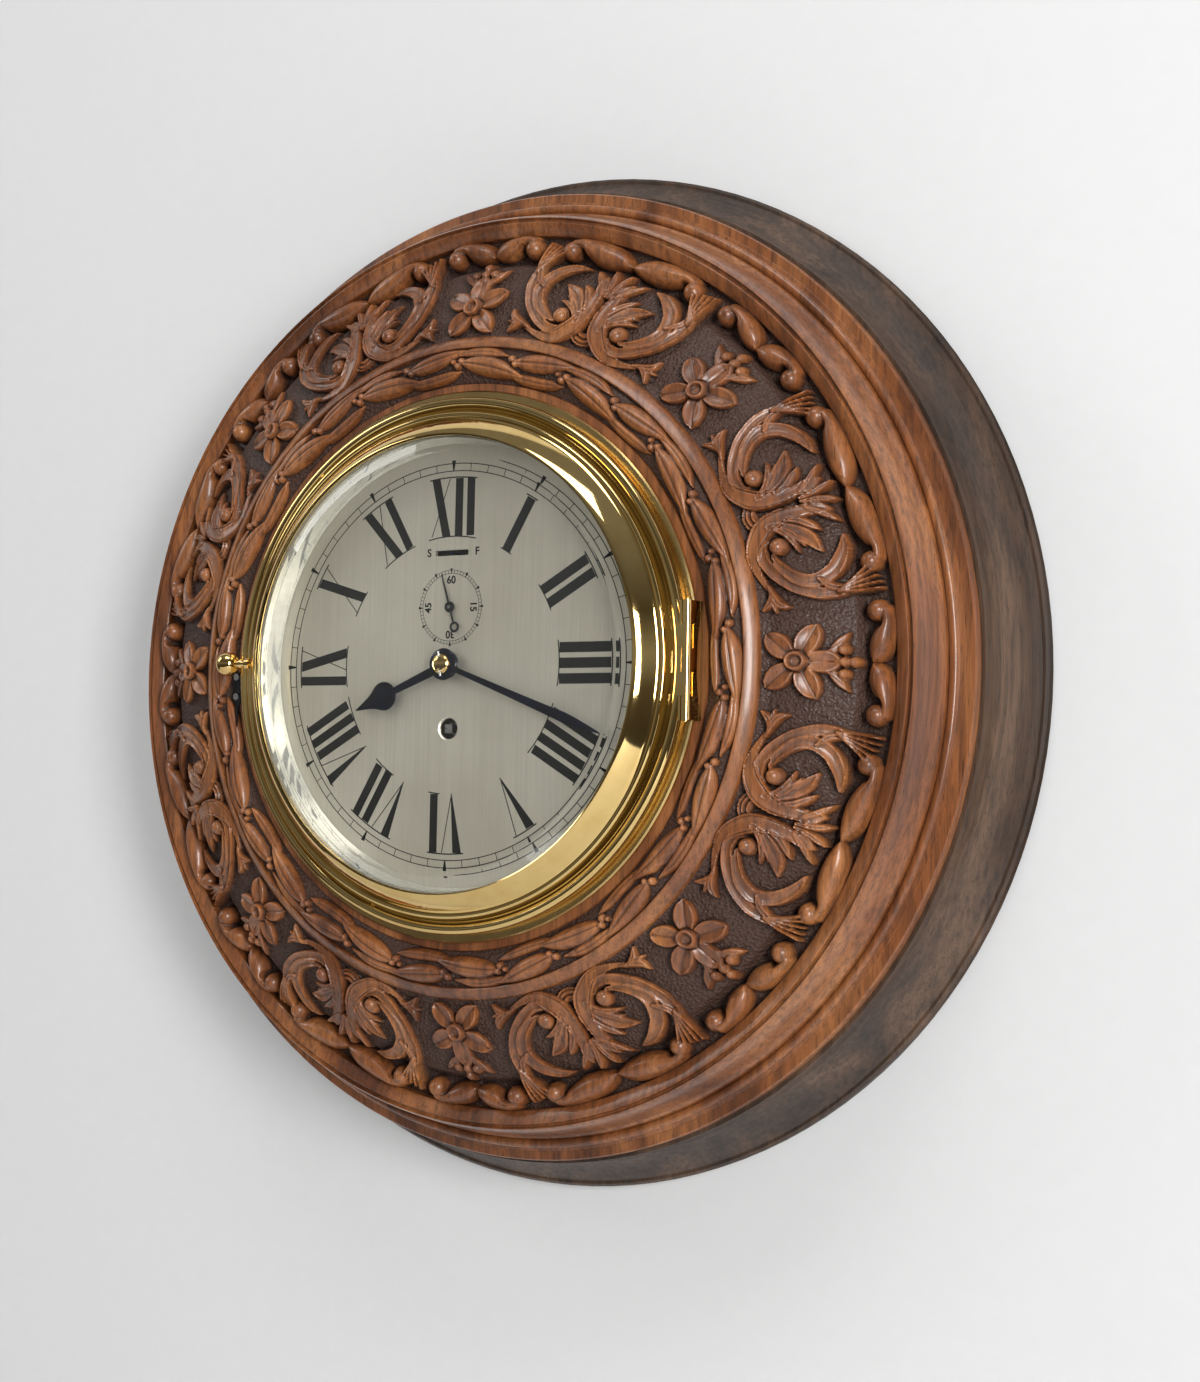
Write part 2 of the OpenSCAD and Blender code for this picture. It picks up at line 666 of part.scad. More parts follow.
module dial() color("silver") hung() translate([0, 0, dial_back_z]) difference() {
    cylinder(r = dial_r, h = dial_t, $fn = 128);
    translate([0, 0, -1]) cylinder(r = hour_pipe_r + 0.7, h = dial_t + 2, $fn = 48);
    translate([0, seconds_y, -1]) cylinder(r = arbor_r + 0.7, h = dial_t + 2, $fn = 48);
    translate([0, -winding_y, -1]) cylinder(r = winding_hole_r, h = dial_t + 2, $fn = 48);
    translate([0, -winding_y, dial_t - 0.6])
        cylinder(r1 = winding_hole_r, r2 = winding_hole_r + 0.7, h = 0.7, $fn = 48);
    translate([-slot_w / 2, slot_y - slot_h / 2, -1]) cube([slot_w, slot_h, dial_t + 2]);
}

module dial_feet() color("peru") hung() foot_spots() difference() {
    union() {
        rod(2.4, plate_front_z + plate_t, dial_back_z - plate_front_z - plate_t);
        rod(foot_r, plate_front_z - 2.5, plate_t + 3);
    }
    translate([-5, 0, dial_pin_z]) rotate([0, 90, 0]) cylinder(r = dial_pin_r + seat, h = 10, $fn = 24);
}

module dial_pins() color("slategray") hung() foot_spots()
    translate([-4, 0, dial_pin_z]) rotate([0, 90, 0]) cylinder(r = dial_pin_r, h = 8, $fn = 24);

// Movement frame

module pillar_spots() for (x = [-pillar_x, pillar_x], y = pillar_ys) translate([x, y, 0]) children();
module post_spots() for (x = [-post_x, post_x], y = pillar_ys) translate([x, y, 0]) children();

module plate_blank(z) translate([-plate_w / 2, plate_bottom, z])
    cube([plate_w, plate_top - plate_bottom, plate_t]);

module at(p) translate([p[0], p[1], 0]) children();

module platform_screw_spots() for (x = [-13, 13], z = [plate_back_z, plate_front_z])
    upright(z + plate_t / 2, platform_top) translate([x, 0, 0]) children();

module back_plate() color("goldenrod") hung() difference() {
    plate_blank(plate_back_z);
    for (p = [centre_p, inter_p, third_p, fourth_p]) at(p) rod(pivot_r + run, plate_back_z - 1, plate_t + 2);
    at(barrel_p) rod(winding_pivot_r + run, plate_back_z - 1, plate_t + 2);
    pillar_spots() rod(frame_screw_r + seat, plate_back_z - 1, plate_t + 2);
    post_spots() rod(post_spigot_r + seat, plate_back_z - 1, plate_t + 2);
    platform_screw_spots() rod(platform_screw_r + seat, -platform_t - 8, 8);
}

module front_plate() color("goldenrod") hung() difference() {
    union() {
        plate_blank(plate_front_z);
        at(motion_p) rod(stud_r, plate_front_z, plate_t + 6);
    }
    for (p = [inter_p, third_p]) at(p) rod(pivot_r + run, plate_front_z - 1, plate_t + 2);
    at(centre_p) rod(centre_arbor_r + run, plate_front_z - 1, plate_t + 2);
    at(fourth_p) rod(arbor_r + run, plate_front_z - 1, plate_t + 2);
    at(barrel_p) rod(winding_arbor_r + run, plate_front_z - 1, plate_t + 2);
    foot_spots() rod(foot_r + run, plate_front_z - 1, plate_t + 2);
    pillar_spots() rod(frame_screw_r + seat, plate_front_z - 1, plate_t + 2);
    click_screw_spots() rod(click_screw_r + seat, plate_front_z - 1, plate_t + 2);
    platform_screw_spots() rod(platform_screw_r + seat, -platform_t - 8, 8);
}

// Turned pillars with a swelling in the middle
module pillars() color("goldenrod") hung() pillar_spots() difference() {
    translate([0, 0, zb]) rotate_extrude($fn = 48) polygon(concat([[0, 0]],
        [for (t = [0 : 0.1 : 1])
            [pillar_r * (t < 0.08 || t > 0.92 ? 1.25 : 0.75 + 0.25 * sin(180 * t)), plate_gap * t]],
        [[0, plate_gap]]));
    rod(frame_screw_r + seat, zb - 1, frame_screw_l + 2);
    rod(frame_screw_r + seat, plate_front_z - frame_screw_l - 1, frame_screw_l + 2);
}

module plate_screws() color("slategray") hung() pillar_spots() {
    translate([0, 0, plate_front_z + plate_t]) screw(frame_screw_r, plate_t + frame_screw_l, 3.2, 1.6);
    translate([0, 0, plate_back_z]) rotate([180, 0, 0])
        screw(frame_screw_r, plate_t + frame_screw_l, 3.2, 1.6);
}

module case_posts() color("goldenrod") hung() post_spots() difference() {
    union() {
        rod(4, drum_z + drum_wall, plate_back_z - drum_z - drum_wall);
        rod(post_spigot_r, plate_back_z, plate_t);
    }
    rod(frame_screw_r + seat, drum_z + drum_wall - 1, case_screw_l + 1.5);
}

module case_screws() color("slategray") hung() post_spots()
    translate([0, 0, drum_z]) rotate([180, 0, 0]) screw(frame_screw_r, drum_wall + case_screw_l, 3.4, 1.8);

// Barrel and winding work

ratchet_n = 20;
ratchet_r = 9.4;
ratchet_z = plate_front_z + plate_t + gap;
ratchet_t = 1.7;
square_w = winding_arbor_r * 1.5;

module winding_arbor() color("slategray") hung() at(barrel_p) {
    rod(winding_pivot_r, plate_back_z, plate_t + gap);
    rod(winding_arbor_r, zb + gap, plate_front_z + plate_t - zb - gap + ratchet_t + gap);
    translate([-square_w / 2, -square_w / 2, ratchet_z + ratchet_t - 0.5])
        cube([square_w, square_w, dial_z - 0.6 - ratchet_z - ratchet_t + 0.5]);
}

module ratchet_wheel() color("silver") hung() at(barrel_p)
    translate([0, 0, ratchet_z]) linear_extrude(ratchet_t) difference() {
        polygon([for (i = [0 : ratchet_n - 1]) let (a = i * 360 / ratchet_n) each [
            polar(ratchet_r, a), polar(ratchet_r - 1.1, a + 1),
            polar(ratchet_r - 0.9, a + 180 / ratchet_n)]]);
        circle(winding_arbor_r + seat);
    }

click_p = [15.5, -winding_y + 8];
click_screw_xy = [click_p, [25, -winding_y + 1]];
click_z = ratchet_z;
click_spring_t = 1.1;
module click_screw_spots() for (p = click_screw_xy) translate([p[0], p[1], 0]) children();

module click() color("silver") hung()
    translate([0, 0, click_z]) linear_extrude(ratchet_t - 0.2) difference() {
    union() {
        at(click_p) circle(2.6);
        polygon([click_p + [-2, 1.6], barrel_p + polar(ratchet_r + 0.75, 21.5),
            barrel_p + polar(ratchet_r + 0.25, 18), click_p + [1.2, -2.2]]);
    }
    at(click_p) circle(click_pivot_r + run);
}

module click_spring() color("steelblue") hung()
    translate([0, 0, click_z]) linear_extrude(click_spring_t) difference() {
    union() {
        at(click_screw_xy[1]) circle(2.4);
        polygon([click_screw_xy[1] + [1, 1.6], click_p + [5.4, 2.9], click_p + [1.3, 5.5],
            click_p + [-3.4, 4.6], click_p + [-3.4, 3.9], click_p + [1, 4.8], click_p + [4.6, 2.4],
            click_screw_xy[1] + [-1, 1.6]]);
    }
    at(click_screw_xy[1]) circle(click_screw_r + seat);
}

module click_screws() color("slategray") hung() {
    at(click_screw_xy[0]) translate([0, 0, ratchet_z + ratchet_t]) {
        rod(click_pivot_r, -ratchet_t - gap + seat, ratchet_t + gap);
        screw(click_screw_r, ratchet_t + plate_t, 2.4, 1);
    }
    at(click_screw_xy[1]) translate([0, 0, click_z + click_spring_t])
        screw(click_screw_r, click_spring_t + plate_t, 2, 1);
}

module barrel() color("gold") hung() at(barrel_p) difference() {
    union() {
        gear(great_n, great_pr, great_z, great_t, aim(barrel_p, inter_p));
        rod(barrel_r, drum_lo_z - 0.1, barrel_h);
    }
    rod(barrel_r - 1.6, drum_lo_z, barrel_h + 1);
    rod(winding_arbor_r + run, great_z - 1, barrel_h + 5);
}

module barrel_cap() color("goldenrod") hung() at(barrel_p)
    ring(barrel_r - 1.6 - seat, winding_arbor_r + run, drum_lo_z + barrel_h - 2, 1.6);

// Mainspring, a spiral strip that lies between the arbor and the barrel's wall
module mainspring() color("steelblue") hung() at(barrel_p) {
    r_in = winding_arbor_r + 0.6;
    r_out = barrel_r - 1.9;
    strip = 0.9;
    translate([0, 0, drum_lo_z + gap]) linear_extrude(barrel_h - 2 - 2 * gap)
        polygon(spiral_strip(r_in, r_out - strip, strip, mainspring_turns, 24));
}

// Going train

module intermediate_wheel() color("gold") hung() at(inter_p) {
    arbor(arbor_r);
    gear(inter_pinion_n, inter_pinion_pr, great_z - 0.5, great_t + 1, aim(inter_p, barrel_p), true);
    crossed_wheel(inter_n, inter_pr, inter_wheel_z, wheel_t, aim(inter_p, centre_p), 4, 0, 5);
}

module centre_arbor() color("slategray") hung() difference() {
    union() {
        rod(pivot_r, plate_back_z, plate_t + gap);
        rod(centre_arbor_r, zb + gap, plate_front_z + plate_t - zb - gap);
        rod(centre_tip_r, plate_front_z, nut_z + nut_h * 0.8 - plate_front_z);
        gear(centre_pinion_n, centre_pinion_pr, inter_wheel_z - 0.7, wheel_t + 1.4,
            aim(centre_p, inter_p), true);
    }
    hand_pin_hole();
}

module centre_wheel() color("gold") hung()
    crossed_wheel(centre_n, centre_pr, centre_wheel_z, wheel_t, aim(centre_p, third_p), 4,
        centre_arbor_r + seat, 5);

module cannon_pinion() color("slategray") hung() difference() {
    union() {
        gear(cannon_n, cannon_pr, ratchet_z + 0.3, 2, aim(centre_p, motion_p), true);
        rod(cannon_pipe_r, ratchet_z, minute_z + 1.6 - ratchet_z);
    }
    rod(centre_tip_r + seat, ratchet_z - 1, 30);
}

module minute_wheel() color("gold") hung() at(motion_p) difference() {
    union() {
        gear(minute_n, minute_pr, ratchet_z + 0.6, 1.3, aim(motion_p, centre_p));
        gear(minute_pinion_n, minute_pinion_pr, ratchet_z + 1.8, 3, aim(motion_p, centre_p), true);
    }
    rod(stud_r + run, ratchet_z - 1, 12);
}

module hour_wheel() color("gold") hung() difference() {
    union() {
        gear(hour_n, hour_pr, ratchet_z + 3.1, 1.3, aim(centre_p, motion_p));
        rod(hour_pipe_r, ratchet_z + 3.1, hour_z + hand_t - ratchet_z - 3);
    }
    rod(cannon_pipe_r + run, ratchet_z, 30);
}

module third_wheel() color("gold") hung() at(third_p) {
    arbor(arbor_r);
    gear(third_pinion_n, third_pinion_pr, centre_wheel_z - 0.7, wheel_t + 1.4, aim(third_p, centre_p), true);
    crossed_wheel(third_n, third_pr, third_wheel_z, wheel_t, aim(third_p, fourth_p), 3, 0, 4);
}

module fourth_arbor() color("slategray") hung() at(fourth_p) {
    rod(pivot_r, plate_back_z, plate_t + gap);
    rod(arbor_r, zb + gap, plate_front_z + plate_t - zb);
    rod(seconds_tip_r, plate_front_z, seconds_z + 1.4 - plate_front_z);
    gear(fourth_pinion_n, fourth_pinion_pr, third_wheel_z - 1, wheel_t + 2, aim(fourth_p, third_p), true);
}

// The contrate wheel's teeth stand on its rim and point to the wall
module contrate_wheel() color("gold") hung() at(fourth_p) {
    root_z = contrate_tip_z + contrate_add + contrate_ded;
    difference() {
        union() {
            ring(contrate_r, contrate_r - contrate_band, root_z, 2.2);
            translate([0, 0, root_z + 1]) cylinder(r = contrate_r - 0.5, h = 1.2, $fn = 96);
            rod(2.6, root_z, 3);
        }
        rod(arbor_r + seat, root_z - 1, 6);
    }
    translate([0, 0, contrate_tip_z]) linear_extrude(contrate_add + contrate_ded + 0.05)
        for (i = [0 : contrate_n - 1]) rotate(90 + i * contrate_pitch)
            translate([contrate_r - contrate_band, -0.24]) square([contrate_band - 0.05, 0.48]);
}

// Platform escapement, above the plates, with its arbors upright

module platform() color("gold") hung() difference() {
    translate([-platform_w / 2, platform_y, plate_back_z])
        cube([platform_w, platform_t, plate_front_z + plate_t - plate_back_z]);
    upright(escape_z, platform_y - 1) cylinder(r = 2, h = platform_t + 2, $fn = 32);
    for (z = [lever_z, balance_z]) upright(z, platform_top - 1)
        cylinder(r = fine_pivot_r + run, h = 2, $fn = 32);
    platform_screw_spots() rod(platform_screw_r + seat, -platform_t - 1, platform_t + 2);
    cock_screw_spots() rod(cock_screw_r + seat, -platform_t - 1, platform_t + 2);
    potence_screw_spot() rod(cock_screw_r + seat, -platform_t - 1, platform_t + 2);
}

module cock_screw_spots() {
    upright(lever_z - 4, platform_top) translate([-12, 0, 0]) children();
    upright(balance_z + 1, platform_top) translate([13.5, 0, 0]) children();
}

module potence_screw_spot() upright(escape_z - 2, platform_top) translate([8.5, 0, 0]) children();

module platform_screws() color("slategray") hung() {
    platform_screw_spots() screw(platform_screw_r, 8, 1.5, 0.8);
    upright(lever_z - 4, cock_y + cock_t) translate([-12, 0, 0])
        screw(cock_screw_r, cock_y + cock_t - platform_y, 1.6, 0.8);
    upright(balance_z + 1, balance_cock_y + balance_cock_t) translate([13.5, 0, 0])
        screw(cock_screw_r, balance_cock_y + balance_cock_t - platform_y, 1.6, 0.8);
    potence_screw_spot() screw(cock_screw_r, 5.5, 1.6, 0.8);
}

// Potence under the platform, which holds the escape arbor's lower pivot
potence_y = contrate_mid_r + seconds_y - 3.2;
module escape_potence() color("goldenrod") hung() difference() {
    union() {
        translate([6, potence_y - 1.6, escape_z - 4]) cube([5, platform_y - potence_y + 1.6, 4]);
        translate([-1.5, potence_y - 1.6, escape_z - 4]) cube([9, 1.6, 4]);
        upright(escape_z, potence_y - 1.6) cylinder(r = 1.3, h = 1.6, $fn = 32);
    }
    upright(escape_z, potence_y - 0.9) cylinder(r = fine_pivot_r + run, h = 2, $fn = 32);
    potence_screw_spot() rod(cock_screw_r + seat, -platform_t - 4, 5);
}

module lever_cock() color("gold") hung() difference() {
    union() {
        translate([-14.5, platform_top, lever_z - 7]) cube([5, cock_y - platform_top, 6]);
        translate([-14.5, cock_y, lever_z - 7]) cube([14.5, cock_t, 6]);
        upright(lever_z, cock_y) cylinder(r = 2, h = cock_t, $fn = 32);
        upright(escape_z, cock_y) cylinder(r = 2, h = cock_t, $fn = 32);
        translate([-2, cock_y, escape_z]) cube([4, cock_t, lever_z - escape_z]);
    }
    for (z = [lever_z, escape_z]) upright(z, cock_y - 1) cylinder(r = fine_pivot_r + run, h = 1.8, $fn = 32);
    cock_screw_spots() rod(cock_screw_r + seat, -1, 12);
}

module balance_cock() color("gold") hung() difference() {
    union() {
        translate([10.5, platform_top, balance_z - 4]) cube([6, balance_cock_y - platform_top, 9]);
        translate([0, balance_cock_y, balance_z - 2.5]) cube([16.5, balance_cock_t, 6]);
        upright(balance_z, balance_cock_y) cylinder(r = 3.4, h = balance_cock_t, $fn = 48);
        upright(balance_z, index_y - gap) cylinder(r = 1.8, h = index_t + gap, $fn = 48);
    }
    upright(balance_z, balance_cock_y - 1) cylinder(r = fine_pivot_r + run, h = 2, $fn = 32);
    cock_screw_spots() rod(cock_screw_r + seat, -1, 16);
}

module regulator_arm() color("steelblue") hung() upright(balance_z, index_y) difference() {
    union() {
        cylinder(r = 3.2, h = index_t, $fn = 48);
        translate([-0.6, -balance_back - 0.4, 0]) cube([1.2, balance_back - 1, index_t]);
        translate([-0.25, 2, 0]) cube([0.5, 4, index_t]);
    }
    translate([0, 0, -1]) cylinder(r = 1.8 + run, h = index_t + 2, $fn = 48);
}

// Flat balance spring, with its outer end under the cock and its inner end at the staff
module hairspring() color("steelblue") hung() upright(balance_z, spring_y) {
    linear_extrude(0.6) polygon(spiral_strip(1.4, 4.6, 0.25, 5, 20));
    translate([4.6, -0.5, 0]) cube([1, 1, balance_cock_y - spring_y]);
}

module balance_wheel() color("gold") hung() upright(balance_z, 0) {
    translate([0, 0, balance_y]) linear_extrude(1.2) {
        difference() {
            circle(balance_r);
            circle(balance_r - 1.1);
        }
        square([2 * balance_r - 1, 1.4], center = true);
        circle(1.6);
    }
    rod(fine_pivot_r, platform_top - 0.9, balance_cock_y + 1.6 - platform_top);
    rod(0.8, platform_top + gap, balance_cock_y - platform_top - 2 * gap);
    translate([0, 0, escape_y + 0.6]) {
        cylinder(r = 1.5, h = 0.6, $fn = 32);
        translate([0, 1.1, -0.6]) cylinder(r = 0.25, h = 0.7, $fn = 24);
    }
}

module escape_wheel() color("gold") hung() upright(escape_z, 0) {
    rod(fine_pivot_r, potence_y - 0.8, cock_y + 1.5 - potence_y);
    rod(fine_arbor_r, potence_y + gap, cock_y - potence_y - 2 * gap);
    gear(escape_pinion_n, escape_pinion_pr, contrate_r + seconds_y - contrate_band - 0.2,
        contrate_band + 0.6, -90, true);
    translate([0, 0, escape_y]) linear_extrude(0.7) difference() {
        union() {
            circle(escape_wheel_r - 1.1);
            for (i = [0 : escape_n - 1]) rotate((i + 0.5) * 360 / escape_n) translate([escape_wheel_r, 0])
                polygon([[-1.4, -0.5], [-0.4, -0.1], [-0.1, 0.05], [0, 0.55], [-0.5, 0.45], [-1.4, 0.6]]);
        }
        difference() {
            circle(escape_wheel_r - 1.9);
            circle(1.2);
            for (i = [0 : 3]) rotate(i * 90) translate([0, -0.3]) square([escape_wheel_r, 0.6]);
        }
    }
}

// Lever with two pallets over the escape wheel and a fork towards the balance
module pallet_lever() color("silver") hung() upright(lever_z, 0) {
    rod(fine_pivot_r, platform_top - 0.9, cock_y + 1.6 - platform_top);
    rod(fine_arbor_r, platform_top + gap, cock_y - platform_top - 2 * gap);
    translate([0, 0, escape_y]) linear_extrude(0.7) {
        circle(1.3);
        polygon([[-0.5, 0], [0.5, 0], [0.35, -5.2], [-0.35, -5.2]]);
        for (s = [-1, 1]) {
            polygon([[s * 0.2, -0.9], [s * 3.4, 2.9], [s * 4, 2.6], [s * 1.1, -1.1]]);
            translate([s * 3.6, 3]) square([0.9, 1], center = true);
            translate([s * 0.65 - 0.2, -6]) square([0.4, 1]);
        }
        translate([-0.85, -5.4]) square([1.7, 0.5]);
    }
}

// Hands

function spin(a) = -a;
function reversed(list) = [for (i = [len(list) - 1 : -1 : 0]) list[i]];
// One side of the spade hand: stem, round of the spade, and the hollow run to the tip
function hour_side(s) = concat([[s * 2.3, 0], [s * 2.2, 12], [s * 1.6, hour_len - 25]],
    [for (a = [-70 : 14 : 42]) [s * 7.2 * cos(a), hour_len - 19 + 7.2 * sin(a)]],
    [[s * 2.9, hour_len - 10], [s * 1.4, hour_len - 5], [s * 0.4, hour_len]]);
module hour_hand() color("black") hung()
    rotate(spin(hour_angle)) translate([0, 0, hour_z]) linear_extrude(hand_t) difference() {
        union() {
            circle(boss_r - 0.8);
            polygon(concat(hour_side(1), reversed(hour_side(-1))));
        }
        circle(hour_pipe_r + seat);
    }

module minute_hand() color("black") hung()
    rotate(spin(minute_angle)) translate([0, 0, minute_z]) difference() {
    union() {
        cylinder(r = boss_r, h = 1.6);
        linear_extrude(hand_t) polygon([[-1.9, 0], [-2, 30], [-3, minute_len * 0.78], [-0.4, minute_len],
            [0.4, minute_len], [3, minute_len * 0.78], [2, 30], [1.9, 0]]);
    }
    translate([0, 0, -1]) cylinder(r = cannon_pipe_r + seat, h = 5);
}

module hand_pin_hole() rotate(8) translate([0, -9, pin_z]) rotate([-90, 0, 0])
    cylinder(r = hand_pin_r + seat, h = 18, $fn = 24);

module hand_nut() color("gold") hung() difference() {
    translate([0, 0, nut_z]) rotate_extrude() polygon(concat([[0, 0], [5, 0], [5, nut_h * 0.3]],
        [for (a = [0 : 15 : 75]) [4.8 * cos(a), nut_h * (0.3 + 0.68 * sin(a))]], [[0, nut_h]]));
    rod(centre_tip_r + seat, nut_z - 1, nut_h * 0.8 + 1);
    hand_pin_hole();
}

module hand_pin() color("silver") hung() rotate(8) translate([0, -hand_pin_l / 2, pin_z]) rotate([-90, 0, 0])
    cylinder(r = hand_pin_r, h = hand_pin_l, $fn = 24);

module seconds_hand() color("black") hung() at(fourth_p) {
    difference() {
        translate([0, 0, seconds_z - 0.2]) cylinder(r = 1.5, h = 1.5);
        rod(seconds_tip_r + seat, seconds_z - 1, 4);
    }
    translate([0, 0, seconds_z]) rotate(spin(seconds_angle)) linear_extrude(0.5) difference() {
        union() {
            circle(2.8);
            polygon([[-0.6, 0], [-0.25, seconds_len], [0.25, seconds_len], [0.6, 0]]);
            translate([-0.45, 2 - seconds_tail]) square([0.9, seconds_tail - 2]);
            translate([0, -seconds_tail]) circle(2.7);
        }
        circle(seconds_tip_r + seat);
        translate([0, -seconds_tail]) circle(1.6);
    }
}

wall_base();
back_board();
board_screws();
hanging_plate();
hanging_plate_screws();
carved_surround();
brass_case();
flange_screws();
catch_plate();
catch_screws();
hinge_fixed_leaf();
hinge_pin();
bezel();
glass();
sight_ring();
bezel_screws();
pull_knob();
hinge_bezel_leaf();
dial();
dial_feet();
dial_pins();
case_posts();
case_screws();
back_plate();
front_plate();
pillars();
plate_screws();
platform();
platform_screws();
escape_potence();
lever_cock();
balance_cock();
hairspring();
click_spring();
click_screws();
click();
winding_arbor();
ratchet_wheel();
barrel();
barrel_cap();
mainspring();
intermediate_wheel();
centre_arbor();
centre_wheel();
cannon_pinion();
minute_hand();
hand_nut();
hand_pin();
minute_wheel();
hour_wheel();
hour_hand();
third_wheel();
fourth_arbor();
contrate_wheel();
seconds_hand();
escape_wheel();
pallet_lever();
balance_wheel();
regulator_arm();
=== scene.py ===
"""Looks of the railway station wall clock: carved walnut surround, brass bezel and silvered dial."""

import json
import math

import bpy
import numpy as np
from mathutils import Matrix, Vector


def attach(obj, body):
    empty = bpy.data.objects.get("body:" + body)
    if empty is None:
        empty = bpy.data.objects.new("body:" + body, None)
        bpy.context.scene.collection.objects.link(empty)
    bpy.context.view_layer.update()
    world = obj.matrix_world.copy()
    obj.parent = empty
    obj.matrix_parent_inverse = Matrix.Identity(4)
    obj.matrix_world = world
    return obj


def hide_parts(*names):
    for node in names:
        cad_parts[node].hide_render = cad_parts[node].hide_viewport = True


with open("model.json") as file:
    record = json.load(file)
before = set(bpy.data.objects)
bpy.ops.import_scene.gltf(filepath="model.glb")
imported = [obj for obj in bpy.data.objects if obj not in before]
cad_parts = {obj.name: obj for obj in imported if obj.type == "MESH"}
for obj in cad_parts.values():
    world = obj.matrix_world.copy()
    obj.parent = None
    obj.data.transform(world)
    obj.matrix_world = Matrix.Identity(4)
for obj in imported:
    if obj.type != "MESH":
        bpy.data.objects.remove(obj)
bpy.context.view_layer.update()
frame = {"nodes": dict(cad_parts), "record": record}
NODES = frame["nodes"]
MM = 0.001

# Radii from the axis and heights from the wall, in mm, as the solids have them
BORE_R, LAUREL_IN, FILLET_IN, FRIEZE_IN, FRIEZE_OUT = 115.8, 143.0, 161.5, 167.5, 209.0
BORDER_IN, BORDER_OUT, RIM_R = 211.0, 225.0, 254.0
SEAT_Z, FRIEZE_Z, FRIEZE_DROP, CHANNEL_Z = 106.0, 101.0, 19.0, 74.0
MOULD_Z, EDGE_Z, BASE_H = 74.6, 51.0, 44.0
DIAL_Z, LIP_R, LIP_Z, BEZEL_IN, BEZEL_R, BEZEL_Z = 110.0, 113.5, 127.4, 115.5, 134.7, 109.1
CREST_Z, ROLL_R, ROLL_Z = 118.5, 2.8, 113.2
HINGE_FLAT_X = 133.18
HOUR_LOW, MINUTE_LOW = DIAL_Z + 2.6, DIAL_Z + 5.2
# Clock angles of the hands in degrees, and the axis of the seconds hand
HOUR_ANGLE, MINUTE_ANGLE = 247.5, 110.5
SECONDS_AT = (0.0, 29.0)


# Making and settling pieces

def face(x, y, z):
    """A point of the clock's face in the row frame, from x to the right, y up and z off the wall in mm."""
    return (x * MM, -z * MM, y * MM)


def let_go():
    """Takes everything out of the selection."""
    if bpy.context.object and bpy.context.object.mode != "OBJECT":
        bpy.ops.object.mode_set(mode="OBJECT")
    bpy.ops.object.select_all(action="DESELECT")


def take(*pieces):
    """Selects these pieces alone, with the last one active."""
    let_go()
    for piece in pieces:
        piece.select_set(True)
    bpy.context.view_layer.objects.active = pieces[-1]


def edit(piece):
    """Opens the piece for editing with all of it selected."""
    take(piece)
    bpy.ops.object.mode_set(mode="EDIT")
    bpy.ops.mesh.select_all(action="SELECT")


def done():
    bpy.ops.object.mode_set(mode="OBJECT")


def turn_faces_out():
    """Faces the open piece's surface outwards and closes it."""
    bpy.ops.mesh.select_all(action="SELECT")
    bpy.ops.mesh.normals_make_consistent(inside=False)
    done()


def joined(*parts):
    take(*parts)
    bpy.ops.object.join()
    return bpy.context.object


def place_all(piece, points):
    """Moves every vertex of the piece to its place."""
    piece.data.vertices.foreach_set("co", np.asarray(points, np.float32).ravel())
    piece.data.update()


def settle(piece, name, body, finish, smooth, replaces=()):
    """Names a finished piece, puts its place into its mesh, and gives it its body, slot and finish."""
    take(piece)
    bpy.ops.object.transform_apply(location=True, rotation=True, scale=True)
    piece.name = piece.data.name = name
    if smooth:
        bpy.ops.object.shade_smooth_by_angle(angle=math.radians(smooth))
    piece.data.materials.clear()
    piece.data.materials.append(finish)
    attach(piece, body)
    if replaces:
        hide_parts(*replaces)


def spin_ring(profile, steps=256, centre=(0.0, 0.0)):
    """A turned ring: a closed profile of (radius, distance from the wall), spun about an axis at centre."""
    let_go()
    bpy.ops.mesh.primitive_circle_add(vertices=len(profile), fill_type="NOTHING")
    piece = bpy.context.object
    place_all(piece, [face(centre[0] + r, centre[1], z) for r, z in profile])
    edit(piece)
    bpy.ops.mesh.spin(steps=steps, angle=math.tau, center=face(*centre, 0), axis=(0, 1, 0))
    bpy.ops.mesh.select_all(action="SELECT")
    bpy.ops.mesh.remove_doubles(threshold=1e-6)
    turn_faces_out()
    return piece


def flat_shape(outline, level):
    """A flat face at this height, drawn by its corners (x, y)."""
    let_go()
    bpy.ops.mesh.primitive_circle_add(vertices=len(outline), fill_type="NGON")
    place_all(bpy.context.object, [face(x, y, level) for x, y in outline])
    return bpy.context.object


def thicken(piece, thick):
    """Makes a solid of a flat piece, this many mm off the wall."""
    edit(piece)
    bpy.ops.mesh.extrude_region_move(TRANSFORM_OT_translate={"value": (0, -thick * MM, 0)})
    turn_faces_out()


def along(count, start, end):
    """The values from start to end in this many even steps."""
    return [start + (end - start) * i / count for i in range(count + 1)]


def spread(values, part):
    """The value at this part, 0 to 1, of the way along the values."""
    spot = part * (len(values) - 1)
    k = min(int(spot), len(values) - 2)
    return values[k] + (values[k + 1] - values[k]) * (spot - k)


def eased(points, per_span=6):
    """A smooth run through the points, each of any number of values."""
    p = np.asarray(points, float)
    p = np.vstack([2 * p[0] - p[1], p, 2 * p[-1] - p[-2]])
    out = []
    for i in range(1, len(p) - 2):
        for t in np.arange(per_span) / per_span:
            out.append(0.5 * (2 * p[i] + (p[i + 1] - p[i - 1]) * t
                              + (2 * p[i - 1] - 5 * p[i] + 4 * p[i + 1] - p[i + 2]) * t ** 2
                              + (3 * p[i] - p[i - 1] - 3 * p[i + 1] + p[i + 2]) * t ** 3))
    return np.array(out + [p[-2]])


# Finishes

